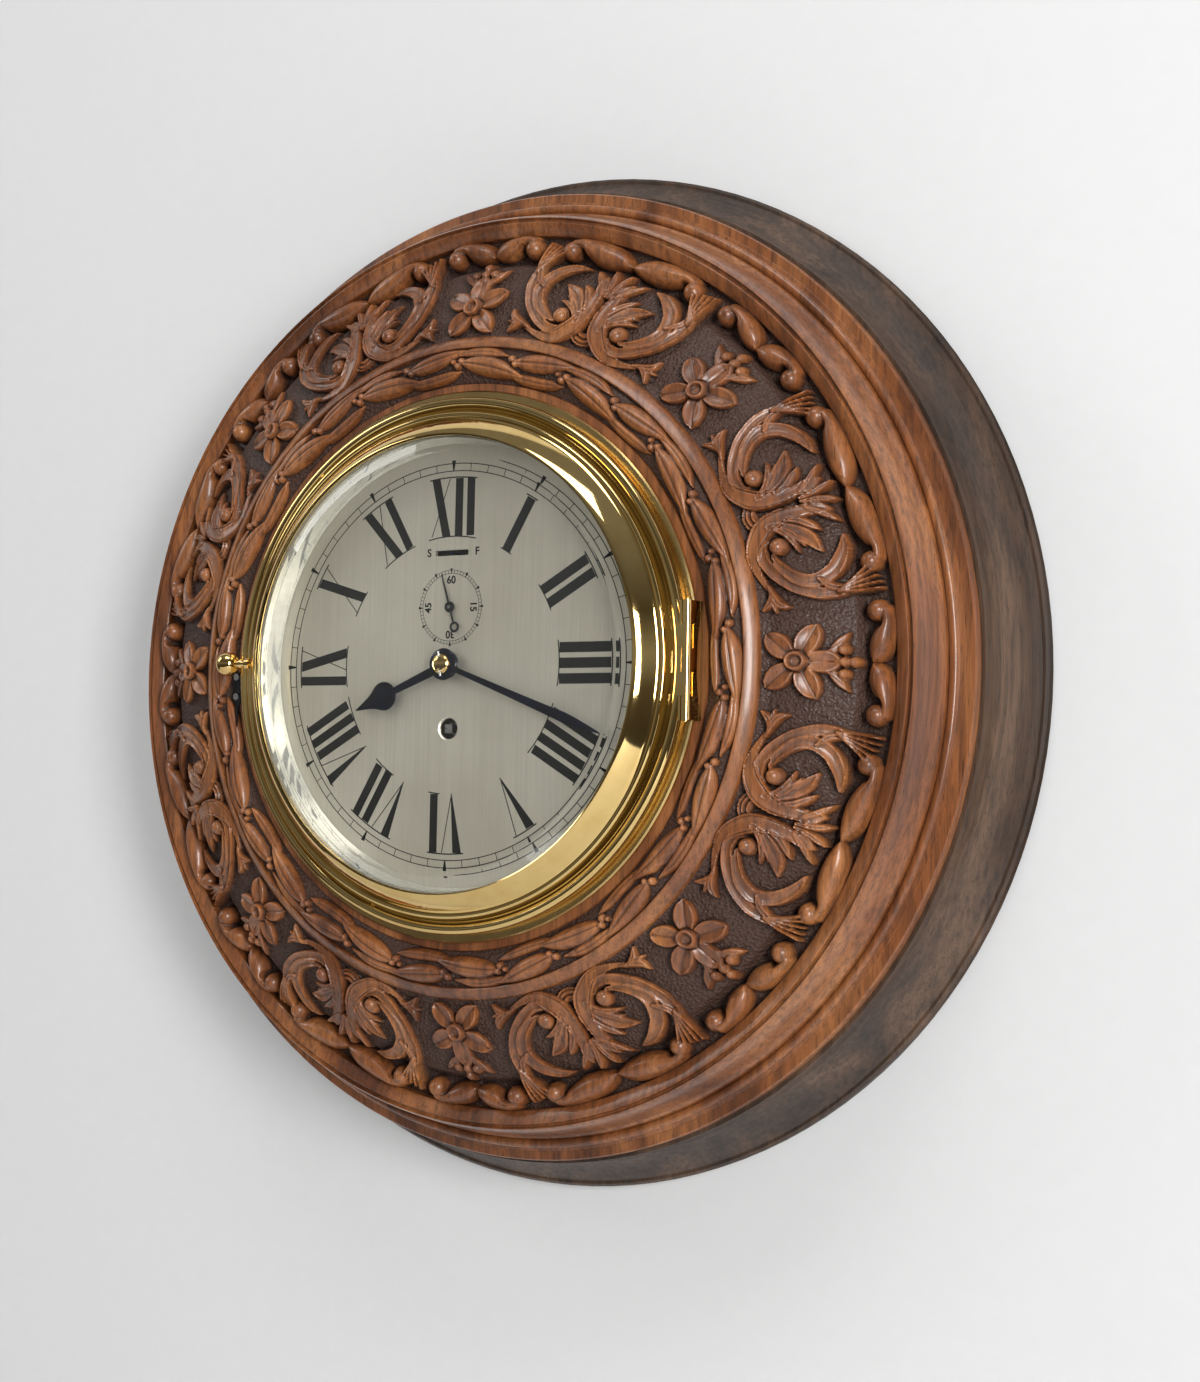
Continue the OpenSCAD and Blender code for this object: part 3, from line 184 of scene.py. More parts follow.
BUMP_DEPTH = 0.0001  # metres that the fine bumps of metal stand for
FIGURE_SCALE, STREAK_SCALE, PORE_SCALE, PUNCH_SCALE = 24, 360, 1500, 620.0
LATHE_SCALE, LATHE_LINES = 2600, 0.05
CLOUD_SCALE, SCRATCH_SCALE, SCRATCHES = 180, 1620, 0.04
LAMP_PASS = (0.98, 0.985, 0.97, 1)  # share of the lamps' light that the glass lets through


def new_finish(name):
    finish = bpy.data.materials.new(name)
    finish.use_nodes = True
    tree = finish.node_tree
    shader = tree.nodes["Principled BSDF"]
    return finish, tree, shader


def add(tree, kind, values=None, **settings):
    """A node with its settings and with values or links on its inputs."""
    made = tree.nodes.new(kind)
    for key, value in settings.items():
        setattr(made, key, value)
    for key, value in (values or {}).items():
        if isinstance(value, bpy.types.NodeSocket):
            tree.links.new(value, made.inputs[key])
        else:
            made.inputs[key].default_value = value
    return made


def where(tree, scale=(1, 1, 1)):
    """Place on the piece, stretched by scale."""
    spot = add(tree, "ShaderNodeTexCoord").outputs["Object"]
    return add(tree, "ShaderNodeMapping", {"Vector": spot, "Scale": scale}).outputs["Vector"]


def grain(tree, scale, stretch=(1, 1, 1), detail=3.0, rough=0.55, distort=0.0):
    """Noise, stretched along the axes whose number is small."""
    values = {"Vector": where(tree, stretch), "Scale": scale, "Detail": detail, "Roughness": rough,
              "Distortion": distort}
    return add(tree, "ShaderNodeTexNoise", values).outputs["Fac"]


def shades(tree, factor, stops):
    """Colours by factor, from stops of (place, colour)."""
    ramp = add(tree, "ShaderNodeValToRGB", {"Fac": factor})
    band = ramp.color_ramp
    while len(band.elements) < len(stops):
        band.elements.new(0.5)
    for element, (place, colour) in zip(band.elements, stops):
        element.position = place
        element.color = (*colour, 1)
    return ramp.outputs["Color"]


def grey(value):
    return (value, value, value)


def greys(tree, factor, *stops):
    return shades(tree, factor, [(place, grey(value)) for place, value in stops])


def mixed(tree, factor, a, b, blend="MIX"):
    made = add(tree, "ShaderNodeMix", data_type="RGBA", blend_type=blend)
    for socket, value in ((0, factor), (6, a), (7, b)):
        if isinstance(value, bpy.types.NodeSocket):
            tree.links.new(value, made.inputs[socket])
        else:
            made.inputs[socket].default_value = (*value, 1) if isinstance(value, tuple) else value
    return made.outputs[2]


def darkened(tree, colour, by):
    return mixed(tree, 1.0, colour, by, "MULTIPLY")


def bumped(tree, shader, height, strength, distance, under=None):
    values = {"Height": height, "Strength": strength, "Distance": distance}
    if under is not None:
        values["Normal"] = under
    out = add(tree, "ShaderNodeBump", values).outputs["Normal"]
    tree.links.new(out, shader.inputs["Normal"])
    return out


def see_through_where(tree, shader, factor, tone=(1, 1, 1, 1)):
    """Lets rays through wherever the factor is one."""
    open_way = add(tree, "ShaderNodeBsdfTransparent", {"Color": tone}).outputs["BSDF"]
    blend = add(tree, "ShaderNodeMixShader", {0: factor, 1: shader.outputs["BSDF"], 2: open_way})
    tree.links.new(blend.outputs["Shader"], tree.nodes["Material Output"].inputs["Surface"])


def walnut(name, dark, middle, light, hollow_shade_colour, gloss, coat, carved=False):
    """Oiled and polished wood with its grain upright; carved pieces get painted shade in their punched
    hollows, and their curvature paints shade in creases and highlights on ridges.
    """
    finish, tree, shader = new_finish(name)
    figure = grain(tree, FIGURE_SCALE, (1, 1, 0.14), 5, 0.62, 0.9)
    streaks = grain(tree, STREAK_SCALE, (1, 1, 0.03), 3, 0.6)
    pores = grain(tree, PORE_SCALE, (1, 1, 0.05), 2, 0.5)
    colour = shades(tree, figure, [(0.34, dark), (0.5, middle), (0.66, light)])
    colour = darkened(tree, colour, greys(tree, streaks, (0.32, 0.5), (0.6, 1.0)))
    colour = darkened(tree, colour, greys(tree, pores, (0.33, 0.45), (0.42, 1.0)))
    if carved:
        # Painted shade: the hollow attribute darkens the carving's hollows, its punched ground and its hidden
        # walls towards the dark shade colour.
        hollow = add(tree, "ShaderNodeAttribute", attribute_name="hollow").outputs["Fac"]
        colour = mixed(tree, greys(tree, hollow, (0.0, 0), (0.7, 1)), colour, hollow_shade_colour)
        # Painted shade and highlight: curvature darkens creases and lightens sharp ridges.
        crease_shade_ridge_highlight = add(tree, "ShaderNodeNewGeometry").outputs["Pointiness"]
        colour = darkened(tree, colour, greys(tree, crease_shade_ridge_highlight, (0.42, 0.3), (0.50, 1), (0.58, 1.35)))
    tree.links.new(colour, shader.inputs["Base Color"])
    sheen = greys(tree, streaks, (0.3, gloss + 0.12), (0.7, gloss))
    if carved:
        sheen = mixed(tree, hollow, sheen, grey(0.8))
        polish = greys(tree, hollow, (0.2, coat), (0.7, 0.1))
        tree.links.new(polish, shader.inputs["Coat Weight"])
    tree.links.new(sheen, shader.inputs["Roughness"])
    if not carved:
        shader.inputs["Coat Weight"].default_value = coat
    shader.inputs["Coat Roughness"].default_value = 0.14
    grained = bumped(tree, shader, streaks, 0.12, 0.0004)
    if carved:
        punch = add(tree, "ShaderNodeTexVoronoi", {"Vector": where(tree), "Scale": PUNCH_SCALE})
        ground = greys(tree, hollow, (0.35, 0), (0.6, 1))
        pits = mixed(tree, ground, (1, 1, 1), punch.outputs["Distance"])
        bumped(tree, shader, pits, 0.9, 0.0011, grained)
    return finish


def turned_metal(name, colour, shade, rough):
    """Metal that was turned and polished: fine rings about the clock's axis and faint tarnish."""
    finish, tree, shader = new_finish(name)
    spot = add(tree, "ShaderNodeTexCoord").outputs["Object"]
    parts = add(tree, "ShaderNodeSeparateXYZ", {"Vector": spot})
    across = add(tree, "ShaderNodeCombineXYZ", {"X": parts.outputs["X"], "Z": parts.outputs["Z"]})
    radius = add(tree, "ShaderNodeVectorMath", {0: across.outputs["Vector"]}, operation="LENGTH")
    rings = add(tree, "ShaderNodeTexNoise", {"W": radius.outputs["Value"], "Scale": LATHE_SCALE,
                                             "Detail": 2.0}, noise_dimensions="1D")
    tarnish = greys(tree, grain(tree, 38, detail=5, rough=0.65), (0.42, 0), (0.72, 1))
    tree.links.new(mixed(tree, tarnish, colour, shade), shader.inputs["Base Color"])
    smear = grain(tree, 60, detail=3, rough=0.5)
    tree.links.new(greys(tree, smear, (0.3, rough * 0.85), (0.75, rough * 1.2)),
                   shader.inputs["Roughness"])
    shader.inputs["Metallic"].default_value = 1.0
    bumped(tree, shader, rings.outputs["Fac"], LATHE_LINES, BUMP_DEPTH)
    return finish


def plain_metal(name, colour, shade, rough, metal=1.0, stretch=(1, 1, 1)):
    """Metal, paint or wax with faint scratches and cloudy tone."""
    finish, tree, shader = new_finish(name)
    cloud = grain(tree, CLOUD_SCALE, stretch, 4, 0.6)
    fine = grain(tree, SCRATCH_SCALE, stretch, 2, 0.5)
    tree.links.new(mixed(tree, greys(tree, cloud, (0.4, 0), (0.7, 1)), colour, shade),
                   shader.inputs["Base Color"])
    tree.links.new(greys(tree, cloud, (0.3, rough * 0.8), (0.75, rough * 1.3)),
                   shader.inputs["Roughness"])
    shader.inputs["Metallic"].default_value = metal
    bumped(tree, shader, fine, SCRATCHES, BUMP_DEPTH)
    return finish


def silvered(name, colour, shade, rough, brushed, upright=False):
    """Silvering with fine rubbing marks and a faint cloud of age; upright rubbing spreads its glow."""
    finish, tree, shader = new_finish(name)
    rub = grain(tree, 900, brushed, 2, 0.5)
    cloud = grain(tree, 14, detail=4, rough=0.55)
    base = mixed(tree, greys(tree, cloud, (0.35, 0), (0.7, 1)), colour, shade)
    base = darkened(tree, base, greys(tree, rub, (0.3, 0.9), (0.7, 1.0)))
    tree.links.new(base, shader.inputs["Base Color"])
    tree.links.new(greys(tree, rub, (0.3, rough), (0.7, rough * 1.25)), shader.inputs["Roughness"])
    shader.inputs["Metallic"].default_value = 0.8
    if upright:
        shader.inputs["Anisotropic"].default_value = 0.75
        up_the_dial = add(tree, "ShaderNodeCombineXYZ", {"Z": 1.0}).outputs["Vector"]
        tree.links.new(up_the_dial, shader.inputs["Tangent"])
    bumped(tree, shader, rub, 0.06, BUMP_DEPTH)
    return finish


def clear_glass(name):
    """Clear glass that lets the lamps' light through."""
    finish, tree, shader = new_finish(name)
    shader.inputs["Base Color"].default_value = (0.99, 0.995, 0.985, 1)
    shader.inputs["Transmission Weight"].default_value = 1.0
    shader.inputs["IOR"].default_value = 1.5
    smear = grain(tree, 30, detail=3)
    tree.links.new(greys(tree, smear, (0.4, 0.0), (0.8, 0.02)), shader.inputs["Roughness"])
    lamps = add(tree, "ShaderNodeLightPath").outputs["Is Shadow Ray"]
    see_through_where(tree, shader, lamps, LAMP_PASS)
    return finish


# The carved walnut's fourth colour is the painted shade of its hollows.
CARVED = walnut("carved_walnut", (0.13, 0.038, 0.010), (0.26, 0.084, 0.023), (0.38, 0.143, 0.043),
                (0.060, 0.026, 0.016), 0.36, 0.35, carved=True)
TURNED = walnut("turned_walnut", (0.115, 0.034, 0.010), (0.25, 0.082, 0.024), (0.38, 0.145, 0.046),
                (0.03, 0.013, 0.008), 0.32, 0.35)
BASE_WOOD = walnut("base_walnut", (0.030, 0.016, 0.009), (0.068, 0.036, 0.020), (0.13, 0.072, 0.041),
                   (0.01, 0.01, 0.01), 0.40, 0.3)
BOARD_WOOD = walnut("board_pine", (0.30, 0.17, 0.08), (0.42, 0.26, 0.13), (0.52, 0.34, 0.18),
                    (0.1, 0.05, 0.02), 0.6, 0.0)
BEZEL_BRASS = turned_metal("bezel_brass", (0.80, 0.58, 0.24), (0.70, 0.47, 0.17), 0.06)
CASE_BRASS = turned_metal("case_brass", (0.66, 0.47, 0.20), (0.56, 0.38, 0.15), 0.24)
MOVEMENT_BRASS = plain_metal("movement_brass", (0.80, 0.60, 0.26), (0.68, 0.47, 0.18), 0.22,
                             stretch=(1, 1, 0.1))
SCREW_BRASS = plain_metal("screw_brass", (0.66, 0.46, 0.18), (0.46, 0.30, 0.11), 0.30)
BRIGHT_STEEL = plain_metal("bright_steel", (0.62, 0.62, 0.60), (0.50, 0.50, 0.49), 0.22)
MOVEMENT_STEEL = plain_metal("movement_steel", (0.48, 0.48, 0.48), (0.36, 0.36, 0.37), 0.28)
BLUED = plain_metal("blued_steel", (0.02, 0.05, 0.22), (0.03, 0.03, 0.12), 0.22)
BLACK_STEEL = plain_metal("black_steel", (0.012, 0.012, 0.014), (0.025, 0.024, 0.026), 0.28, 0.4)
COPPER = plain_metal("copper_feet", (0.72, 0.33, 0.18), (0.50, 0.20, 0.10), 0.3)
DIAL_SILVER = silvered("dial_silver", (0.74, 0.70, 0.60), (0.63, 0.585, 0.48), 0.30, (1, 1, 0.012), True)
SIGHT_SILVER = silvered("sight_silver", (0.80, 0.80, 0.75), (0.70, 0.70, 0.64), 0.05, (0.3, 0.3, 0.3))
BEVELLED = clear_glass("bevelled_glass")
HAND_BLACK = plain_metal("hand_black", (0.004, 0.004, 0.006), (0.006, 0.009, 0.028), 0.14, 0.5)
DIAL_INK = plain_metal("dial_wax", (0.002, 0.002, 0.002), (0.005, 0.005, 0.004), 0.6, 0.0)
DIAL_INK.node_tree.nodes["Principled BSDF"].inputs["Specular IOR Level"].default_value = 0.2

FINISHES = {
    "dark_wood": BASE_WOOD, "board_wood": BOARD_WOOD, "carved_wood": TURNED, "case_brass": CASE_BRASS,
    "polished_brass": BEZEL_BRASS, "screw_brass": SCREW_BRASS, "black_steel": BLACK_STEEL,
    "bright_steel": BRIGHT_STEEL, "movement_steel": MOVEMENT_STEEL, "blued_steel": BLUED,
    "bevelled_glass": BEVELLED, "silvered_ring": SIGHT_SILVER, "silvered_dial": DIAL_SILVER,
    "copper": COPPER, "movement_brass": MOVEMENT_BRASS,
}
for row in frame["record"]["subparts"]:
    NODES[row["node"]].data.materials.clear()
    NODES[row["node"]].data.materials.append(FINISHES[row["material_slot"]])


# Turned wood

LOWERED = 3.0  # how far the turned ring lies under the carving
OGEE_IN, OGEE_OUT, BEAD_AT = BORDER_OUT + 9, BORDER_OUT + 16.5, BORDER_OUT + 19.5
OGEE_TOP = MOULD_Z + 4.5
OGEE_DROP = OGEE_TOP - EDGE_Z - 7
BACK_R = 223  # of the ring's flat back


def frieze_line(t):
    """Height of the frieze's ground at t, from 0 at its inner edge to 1 at its outer one."""
    return FRIEZE_Z - FRIEZE_DROP * t ** 1.6


def surround_profile():
    """Section of the wooden ring, from its bore outwards over the front and back along the rear."""
    ring = [(BORE_R, SEAT_Z - 0.4), (BORE_R + 0.4, SEAT_Z), (LAUREL_IN - 0.3, SEAT_Z),
            (LAUREL_IN, SEAT_Z - 0.4), (LAUREL_IN + 0.4, SEAT_Z - LOWERED),
            (FILLET_IN - 0.6, SEAT_Z - LOWERED), (FILLET_IN, SEAT_Z + 1.2), (FILLET_IN + 0.5, SEAT_Z + 1.5),
            (FILLET_IN + 1.2, SEAT_Z + 1.2), (FRIEZE_IN - 0.6, SEAT_Z - 2.2), (FRIEZE_IN, SEAT_Z - 3.2)]
    ring += [(FRIEZE_IN + 0.4 + (FRIEZE_OUT - FRIEZE_IN) * t, frieze_line(t) - LOWERED - 1)
             for t in along(12, 0, 0.93)]
    ring += [(FRIEZE_OUT - 1.5, CHANNEL_Z - LOWERED), (BORDER_OUT - 0.6, CHANNEL_Z - LOWERED),
             (BORDER_OUT, MOULD_Z + 1.6), (BORDER_OUT + 0.7, MOULD_Z + 2.4), (BORDER_OUT + 6.2, OGEE_TOP),
             (BORDER_OUT + 6.7, OGEE_TOP - 0.2), (BORDER_OUT + 7.4, OGEE_TOP - 1.9),
             (BORDER_OUT + 8.2, OGEE_TOP - 1.9)]
    ring += [(OGEE_IN + (OGEE_OUT - OGEE_IN) * t, OGEE_TOP - OGEE_DROP * (t - 0.09 * math.sin(math.tau * t)))
             for t in along(28, 0, 1)]
    ring += [(BEAD_AT + 2.4 * math.cos(a), EDGE_Z + 3.4 + 2.4 * math.sin(a))
             for a in along(14, math.radians(160), math.radians(-40))]
    ring += [(BEAD_AT + 3.2, EDGE_Z + 1.4), (BEAD_AT + 4.2, EDGE_Z + 1.3), (BEAD_AT + 4.6, EDGE_Z + 0.3),
             (RIM_R - 0.8, EDGE_Z), (RIM_R - 0.1, EDGE_Z - 0.8), (RIM_R, BASE_H + 0.5), (RIM_R - 0.6, BASE_H)]
    ring += [(BACK_R, BASE_H), (BORDER_IN - 4, FRIEZE_Z - FRIEZE_DROP - 24), (FRIEZE_IN, FRIEZE_Z - 20),
             (BORE_R, SEAT_Z - 20)]
    return ring


settle(spin_ring(surround_profile()), "surround_turning", "case", TURNED, 32,
       ["carved_surround"])


# Carving. A stroke of the carver's gouge is a run of points (x, y, half width, height) over the plane
# of the face, and its section gives the height across it, where q goes from -1 at one edge to 1 at the
# other. The strokes of one pattern are carved into one sheet of points.

def round_cut(q):
    return np.sqrt(np.clip(1 - q * q, 0, 1))


def leaf_cut(q):
    """Rounded leaf with a sunk midrib."""
    return np.clip(1 - np.abs(q) ** 2.6, 0, 1) ** 0.7 * (1 - 0.22 * np.exp(-(q / 0.14) ** 2))


def dished_cut(q):
    """Hollow petal or leaf with raised edges."""
    return (0.62 + 0.38 * np.abs(q) ** 1.6) * np.clip((1 - np.abs(q)) / 0.16, 0, 1) ** 0.6 \
        * (1 - 0.12 * np.exp(-(q / 0.1) ** 2))


def fluted_cut(q):
    """Scroll band with a broad flute between two edges."""
    return (0.66 + 0.34 * np.abs(q) ** 2) * np.clip((1 - np.abs(q)) / 0.14, 0, 1) ** 0.6


def stem_cut(q):
    """Broad hollow stem with a fine reed along each edge."""
    reed = 0.15 * np.exp(-((np.abs(q) - 0.86) / 0.07) ** 2) \
        - 0.13 * np.exp(-((np.abs(q) - 0.7) / 0.06) ** 2)
    return np.clip((1 - np.abs(q)) / 0.12, 0, 1) ** 0.6 * (0.74 + 0.14 * np.abs(q) ** 2 + reed)


def carve(x, y, height, points, section):
    """Raises height to one stroke wherever the stroke is higher."""
    run = eased(points)
    reach = run[:, 2].max() + 0.5
    near = ((x > run[:, 0].min() - reach) & (x < run[:, 0].max() + reach)
            & (y > run[:, 1].min() - reach) & (y < run[:, 1].max() + reach))
    if not near.any():
        return
    px, py = x[near], y[near]
    best = np.full(px.shape, 9.0)
    rise = np.zeros(px.shape)
    for (ax, ay, aw, ah), (bx, by, bw, bh) in zip(run[:-1], run[1:]):
        dx, dy = bx - ax, by - ay
        span = max(dx * dx + dy * dy, 1e-9)
        t = np.clip(((px - ax) * dx + (py - ay) * dy) / span, 0, 1)
        side = (px - ax) * dy - (py - ay) * dx
        off = np.hypot(px - ax - t * dx, py - ay - t * dy) / np.maximum(aw + (bw - aw) * t, 0.05)
        closer = off < best
        best = np.where(closer, off, best)
        rise = np.where(closer, (ah + (bh - ah) * t) * section(np.clip(off, 0, 1) * np.sign(side)), rise)
    height[near] = np.maximum(height[near], np.where(best < 1, rise, 0))


def knob(x, y, height, cx, cy, r, top, base):
    """Raises a half round boss that stands on base."""
    far = np.hypot(x - cx, y - cy) / r
    dome = base + (top - base) * np.sqrt(np.clip(1 - far * far, 0, 1))
    np.maximum(height, np.where(far < 1, dome, 0), out=height)


def softened(field, times):
    """The field with each point evened with its neighbours."""
    for _ in range(times):
        padded = np.pad(field, 1, mode="edge")
        field = (padded[:-2, 1:-1] + padded[2:, 1:-1] + padded[1:-1, :-2] + padded[1:-1, 2:]
                 + 4 * field) / 8
    return field


def sunk(field, times):
    """How far each point lies below its surroundings."""
    wide = field
    for _ in range(times):
        padded = np.pad(wide, 3, mode="edge")
        wide = (padded[:-6, 3:-3] + padded[6:, 3:-3] + padded[3:-3, :-6] + padded[3:-3, 6:] + wide) / 5
    return wide - field


def polar(turn, radius):
    """A point (x, y) at this clock angle in degrees."""
    return radius * math.sin(math.radians(turn)), radius * math.cos(math.radians(turn))


def on_scroll(points, widths, heights):
    """Stroke points from (degrees from the scroll's axis, mm out from the frieze's inner edge)."""
    last = max(len(points) - 1, 1)
    return [(*polar(turn, FRIEZE_IN + out), spread(widths, i / last), spread(heights, i / last))
            for i, (turn, out) in enumerate(points)]


HALF_UNIT = 22.5  # degrees from a scroll's axis to a flower's axis
UNITS = 8

# Strokes of the frieze: points, half widths from start to end, heights from start to end, section
SCROLL_STROKES = [
    # outer flute of the C scroll, from the volute out to the shell
    ([(4.4, 10.2), (5.0, 7.9), (6.9, 7.2), (8.9, 9.8), (10.4, 13.6), (11.8, 18.4), (12.8, 24.6), (13.3, 30),
      (13.2, 36), (12.9, 41), (12.6, 46)],
     (1.8, 2.8, 3.1, 3.1, 3.0, 2.4), (5.2, 5.6, 6.0, 6.2, 6.6, 7.8), fluted_cut),
    # inner flute with its hooked end
    ([(6.6, 11.6), (8.2, 13.4), (9.9, 17.2), (11, 21.8), (11.4, 26.6), (11.0, 31.6), (10.2, 35.6),
      (8.9, 38.8), (7.5, 40.9), (6.0, 41.6)],
     (0.8, 2.2, 3.2, 3.6, 3.8, 3.6, 2.8, 0.9), (6.0, 6.2, 6.6, 6.8, 7.0, 6.4), fluted_cut),
    # lobe that turns out of the band
    ([(11.2, 29), (12.4, 33), (12.8, 37.5), (12.2, 40.6)], (1.2, 2.6, 2.2, 0.6), (6.6, 6.8, 6.4), leaf_cut),
    # stem that carries the scroll, along the fillet and then out along the axis
    ([(11.3, 5.8), (9, 3.4), (6.8, 2.6), (5.0, 4.0), (3.5, 7.4), (2.3, 11.6), (1.6, 17), (1.35, 23), (1.5, 29),
      (1.7, 35), (2.2, 39.6)],
     (1.1, 1.8, 2.8, 3.8, 4.6, 5.0, 4.4, 3.6, 3.2, 3.0, 0.8),
     (3.6, 4.4, 5.2, 6.0, 6.6, 6.8, 6.8, 6.6, 6.4, 6.0), stem_cut),
    # leaves on the axis and beside it
    ([(0.25, 30), (0.5, 36), (0.9, 40.5), (1.3, 44)], (1.4, 2.2, 2.2, 0.6), (6.4, 7.0, 7.2), leaf_cut),
    ([(1.2, 31), (2.4, 36), (3.4, 39.5), (4.1, 42)], (1.4, 2.2, 1.6, 0.4), (6.2, 6.2, 5.6), leaf_cut),
    # acanthus leaf inside the scroll
    ([(2.4, 13.5), (3.2, 19), (4.2, 24), (5.4, 28), (7.4, 31.4)], (1.6, 3.0, 3.6, 3.4, 0.8),
     (6.4, 6.6, 6.2, 5.0), dished_cut),
    ([(2.6, 15.5), (4.2, 19.6), (5.6, 21.8), (7.0, 22.6)], (1.4, 2.2, 1.9, 0.5), (6.2, 5.8, 4.6), leaf_cut),
    ([(3.1, 19), (4.6, 23), (6.3, 25.6)], (1.6, 2.2, 0.6), (6.2, 5.6, 4.6), leaf_cut),
    ([(2.1, 21), (2.6, 26), (3.6, 30), (4.6, 33.2)], (1.4, 2.6, 2.4, 0.6), (6.4, 5.8, 4.8), leaf_cut),
    # bud at the stem's other end
    ([(11.0, 6.4), (12.4, 7.6), (13.7, 6.2), (14.7, 2.6)], (1.1, 1.8, 2.4, 0.7), (4.0, 4.8, 4.6), leaf_cut),
    ([(11.6, 7.4), (13.1, 8.6), (14.2, 11), (14.6, 14.6)], (1.2, 2.4, 2.4, 0.8), (4.4, 5.0, 4.4), leaf_cut),
    ([(12.0, 7.6), (13.6, 7.9), (15.2, 8.6)], (1.2, 2.0, 0.7), (4.6, 4.6, 4.0), leaf_cut),
]
SHELL_STROKES = [([(13.3, 36), (13.5 - 0.52 * i, 44 + 0.3 * i), (13.4 - 0.8 * i, 53.5 - 0.9 * i)],
                  (0.9, 1.15, 0.8), (7.4, 8.8, 8.2), round_cut) for i in range(5)]
VOLUTE_EYE, EYE_R = (5.55, 15.2), 4.3
PETAL_TURNS = (0, 66, -66, 139, -139)
BERRIES = ((19.5, 0), (19.2, 5.6), (19.2, -5.6), (23.4, 0))
BERRY_R = 2.7
FLOWER_OUT = 16.8

# Glossy curled leaves of the border, as (degrees from the flower's axis, radius, half width, height),
# then their round curls and the hollows in these, as (degrees, radius, size)
BORDER_LEAVES = (
    [(6.2, 221.6, 3.4, 10.0), (4.9, 222.0, 3.4, 10.6), (3.6, 219.8, 5.4, 11.4), (2.3, 217.8, 6.4, 11.4),
     (1.2, 216.4, 5.0, 10.2), (0.2, 214.6, 1.4, 8.2)],
    [(12.9, 221.4, 3.4, 10.0), (14.1, 222.0, 3.4, 10.6), (15.7, 220.0, 5.6, 11.6), (17.6, 218.2, 7.0, 12.0),
     (19.6, 217.4, 6.6, 11.4), (21.3, 216.6, 4.2, 10.0), (22.4, 216.0, 1.4, 8.2)],
)
BORDER_CURLS = ((6.4, 217.4, 5.5), (12.5, 217.4, 5.5))
BORDER_HOLLOWS = ((4.65, 215.8, 2.1), (14.2, 215.8, 2.1))

COLUMNS, FRIEZE_ROWS = 188, 138
GROUND_SUNK = 2.2  # of the frieze's ground under its slope
GROUND_ROUGH = 0.4  # of the punched ground
BORDER_SUNK = 2.0
NOWHERE = -99  # height of a layer where it has nothing
FRIEZE_FLOOR = 66.0


def flower_spot(out, across):
    """A place on the face from (outwards, sideways) at the flower's heart."""
    axis = math.radians(HALF_UNIT)
    ex, ey = (math.sin(axis), math.cos(axis)), (math.cos(axis), -math.sin(axis))
    heart = FRIEZE_IN + FLOWER_OUT
    return (heart + out) * ex[0] + across * ey[0], (heart + out) * ex[1] + across * ey[1]


def flower_stroke(points):
    return [(*flower_spot(out, across), width, height) for out, across, width, height in points]


def flower_strokes():
    """Petals and small leaves of the flower, whose axis is at HALF_UNIT."""
    strokes = []
    for turn in PETAL_TURNS:
        c, n = math.cos(math.radians(turn)), math.sin(math.radians(turn))
        length = 14.5 if turn == 0 else 18.5
        strokes.append((flower_stroke([(c * d, n * d, w, h) for d, w, h in (
            (3.6, 2.0, 4.6), (6.5, 4.0, 5.4), (10, 5.6, 5.8), (13.5, 4.8, 5.4),
            (length - 2.2, 2.4, 4.8), (length + 0.6, 0.3, 4.0))]), dished_cut))
    for side in (-1, 1):
        strokes.append((flower_stroke([(14, side * 6.5, 1.0, 4.4), (17.5, side * 9.5, 2.4, 4.8),
                                       (20.5, side * 13.5, 0.5, 4.2)]), leaf_cut))
        strokes.append((flower_stroke([(11, side * 4, 1.0, 4.4), (15.5, side * 5.6, 2.0, 4.6),
                                       (20.0, side * 8.6, 0.5, 4.0)]), leaf_cut))
    return strokes


def frieze_relief(x, y):
    """Height of the scrolls, the flower and the shell over the frieze's ground."""
    relief = np.zeros_like(x)
    for points, widths, heights, section in SCROLL_STROKES:
        carve(x, y, relief, on_scroll(points, widths, heights), section)
    for points, section in flower_strokes():
        carve(x, y, relief, points, section)
    # volute's eye, the fan of arcs on the axis, the flower's button and its berries
    knob(x, y, relief, *polar(VOLUTE_EYE[0], FRIEZE_IN + VOLUTE_EYE[1]), EYE_R, 8.0, 2.0)
    far = np.hypot(x, y - (FRIEZE_IN + 12.5))
    arcs = np.where((far < 9.6) & (y < FRIEZE_IN + 9.5), 3.2 + 0.9 * np.cos(far * math.tau / 2.4), 0)
    np.maximum(relief, np.where(relief < 1.2, arcs, 0), out=relief)
    heart = flower_spot(0, 0)
    far = np.hypot(x - heart[0], y - heart[1])
    button = 7.6 - 2.6 * np.clip((3.3 - far) / 1.2, 0, 1) - 6.0 * np.clip((far - 4.3) / 0.8, 0, 1)
    relief = np.where(far < 5.2, np.where(far < 4.9, button, np.minimum(relief, 2.6)), relief)
    for berry in BERRIES:
        knob(x, y, relief, *flower_spot(*berry), BERRY_R, 6.6, 1.5)
    shell = np.zeros_like(x)
    for points, widths, heights, section in SHELL_STROKES:
        carve(x, y, shell, on_scroll(points, widths, heights), section)
    return np.maximum(relief, shell)


def border_relief(x, y):
    """Height of the border's curled leaves over its own level."""
    rim = np.zeros_like(x)
    for run in BORDER_LEAVES:
        carve(x, y, rim, [(*polar(HALF_UNIT - f, r), w, h) for f, r, w, h in run], round_cut)
    for f, r, size in BORDER_CURLS:
        knob(x, y, rim, *polar(HALF_UNIT - f, r), size, 12.0, 4.0)
    for f, r, size in BORDER_HOLLOWS:
        turn = math.radians(HALF_UNIT - f)
        out = x * math.sin(turn) + y * math.cos(turn) - r
        across = x * math.cos(turn) - y * math.sin(turn)
        rim *= np.clip((np.hypot(out / 2.2, across) - size + 0.9) / 0.7, 0, 1)
    return rim


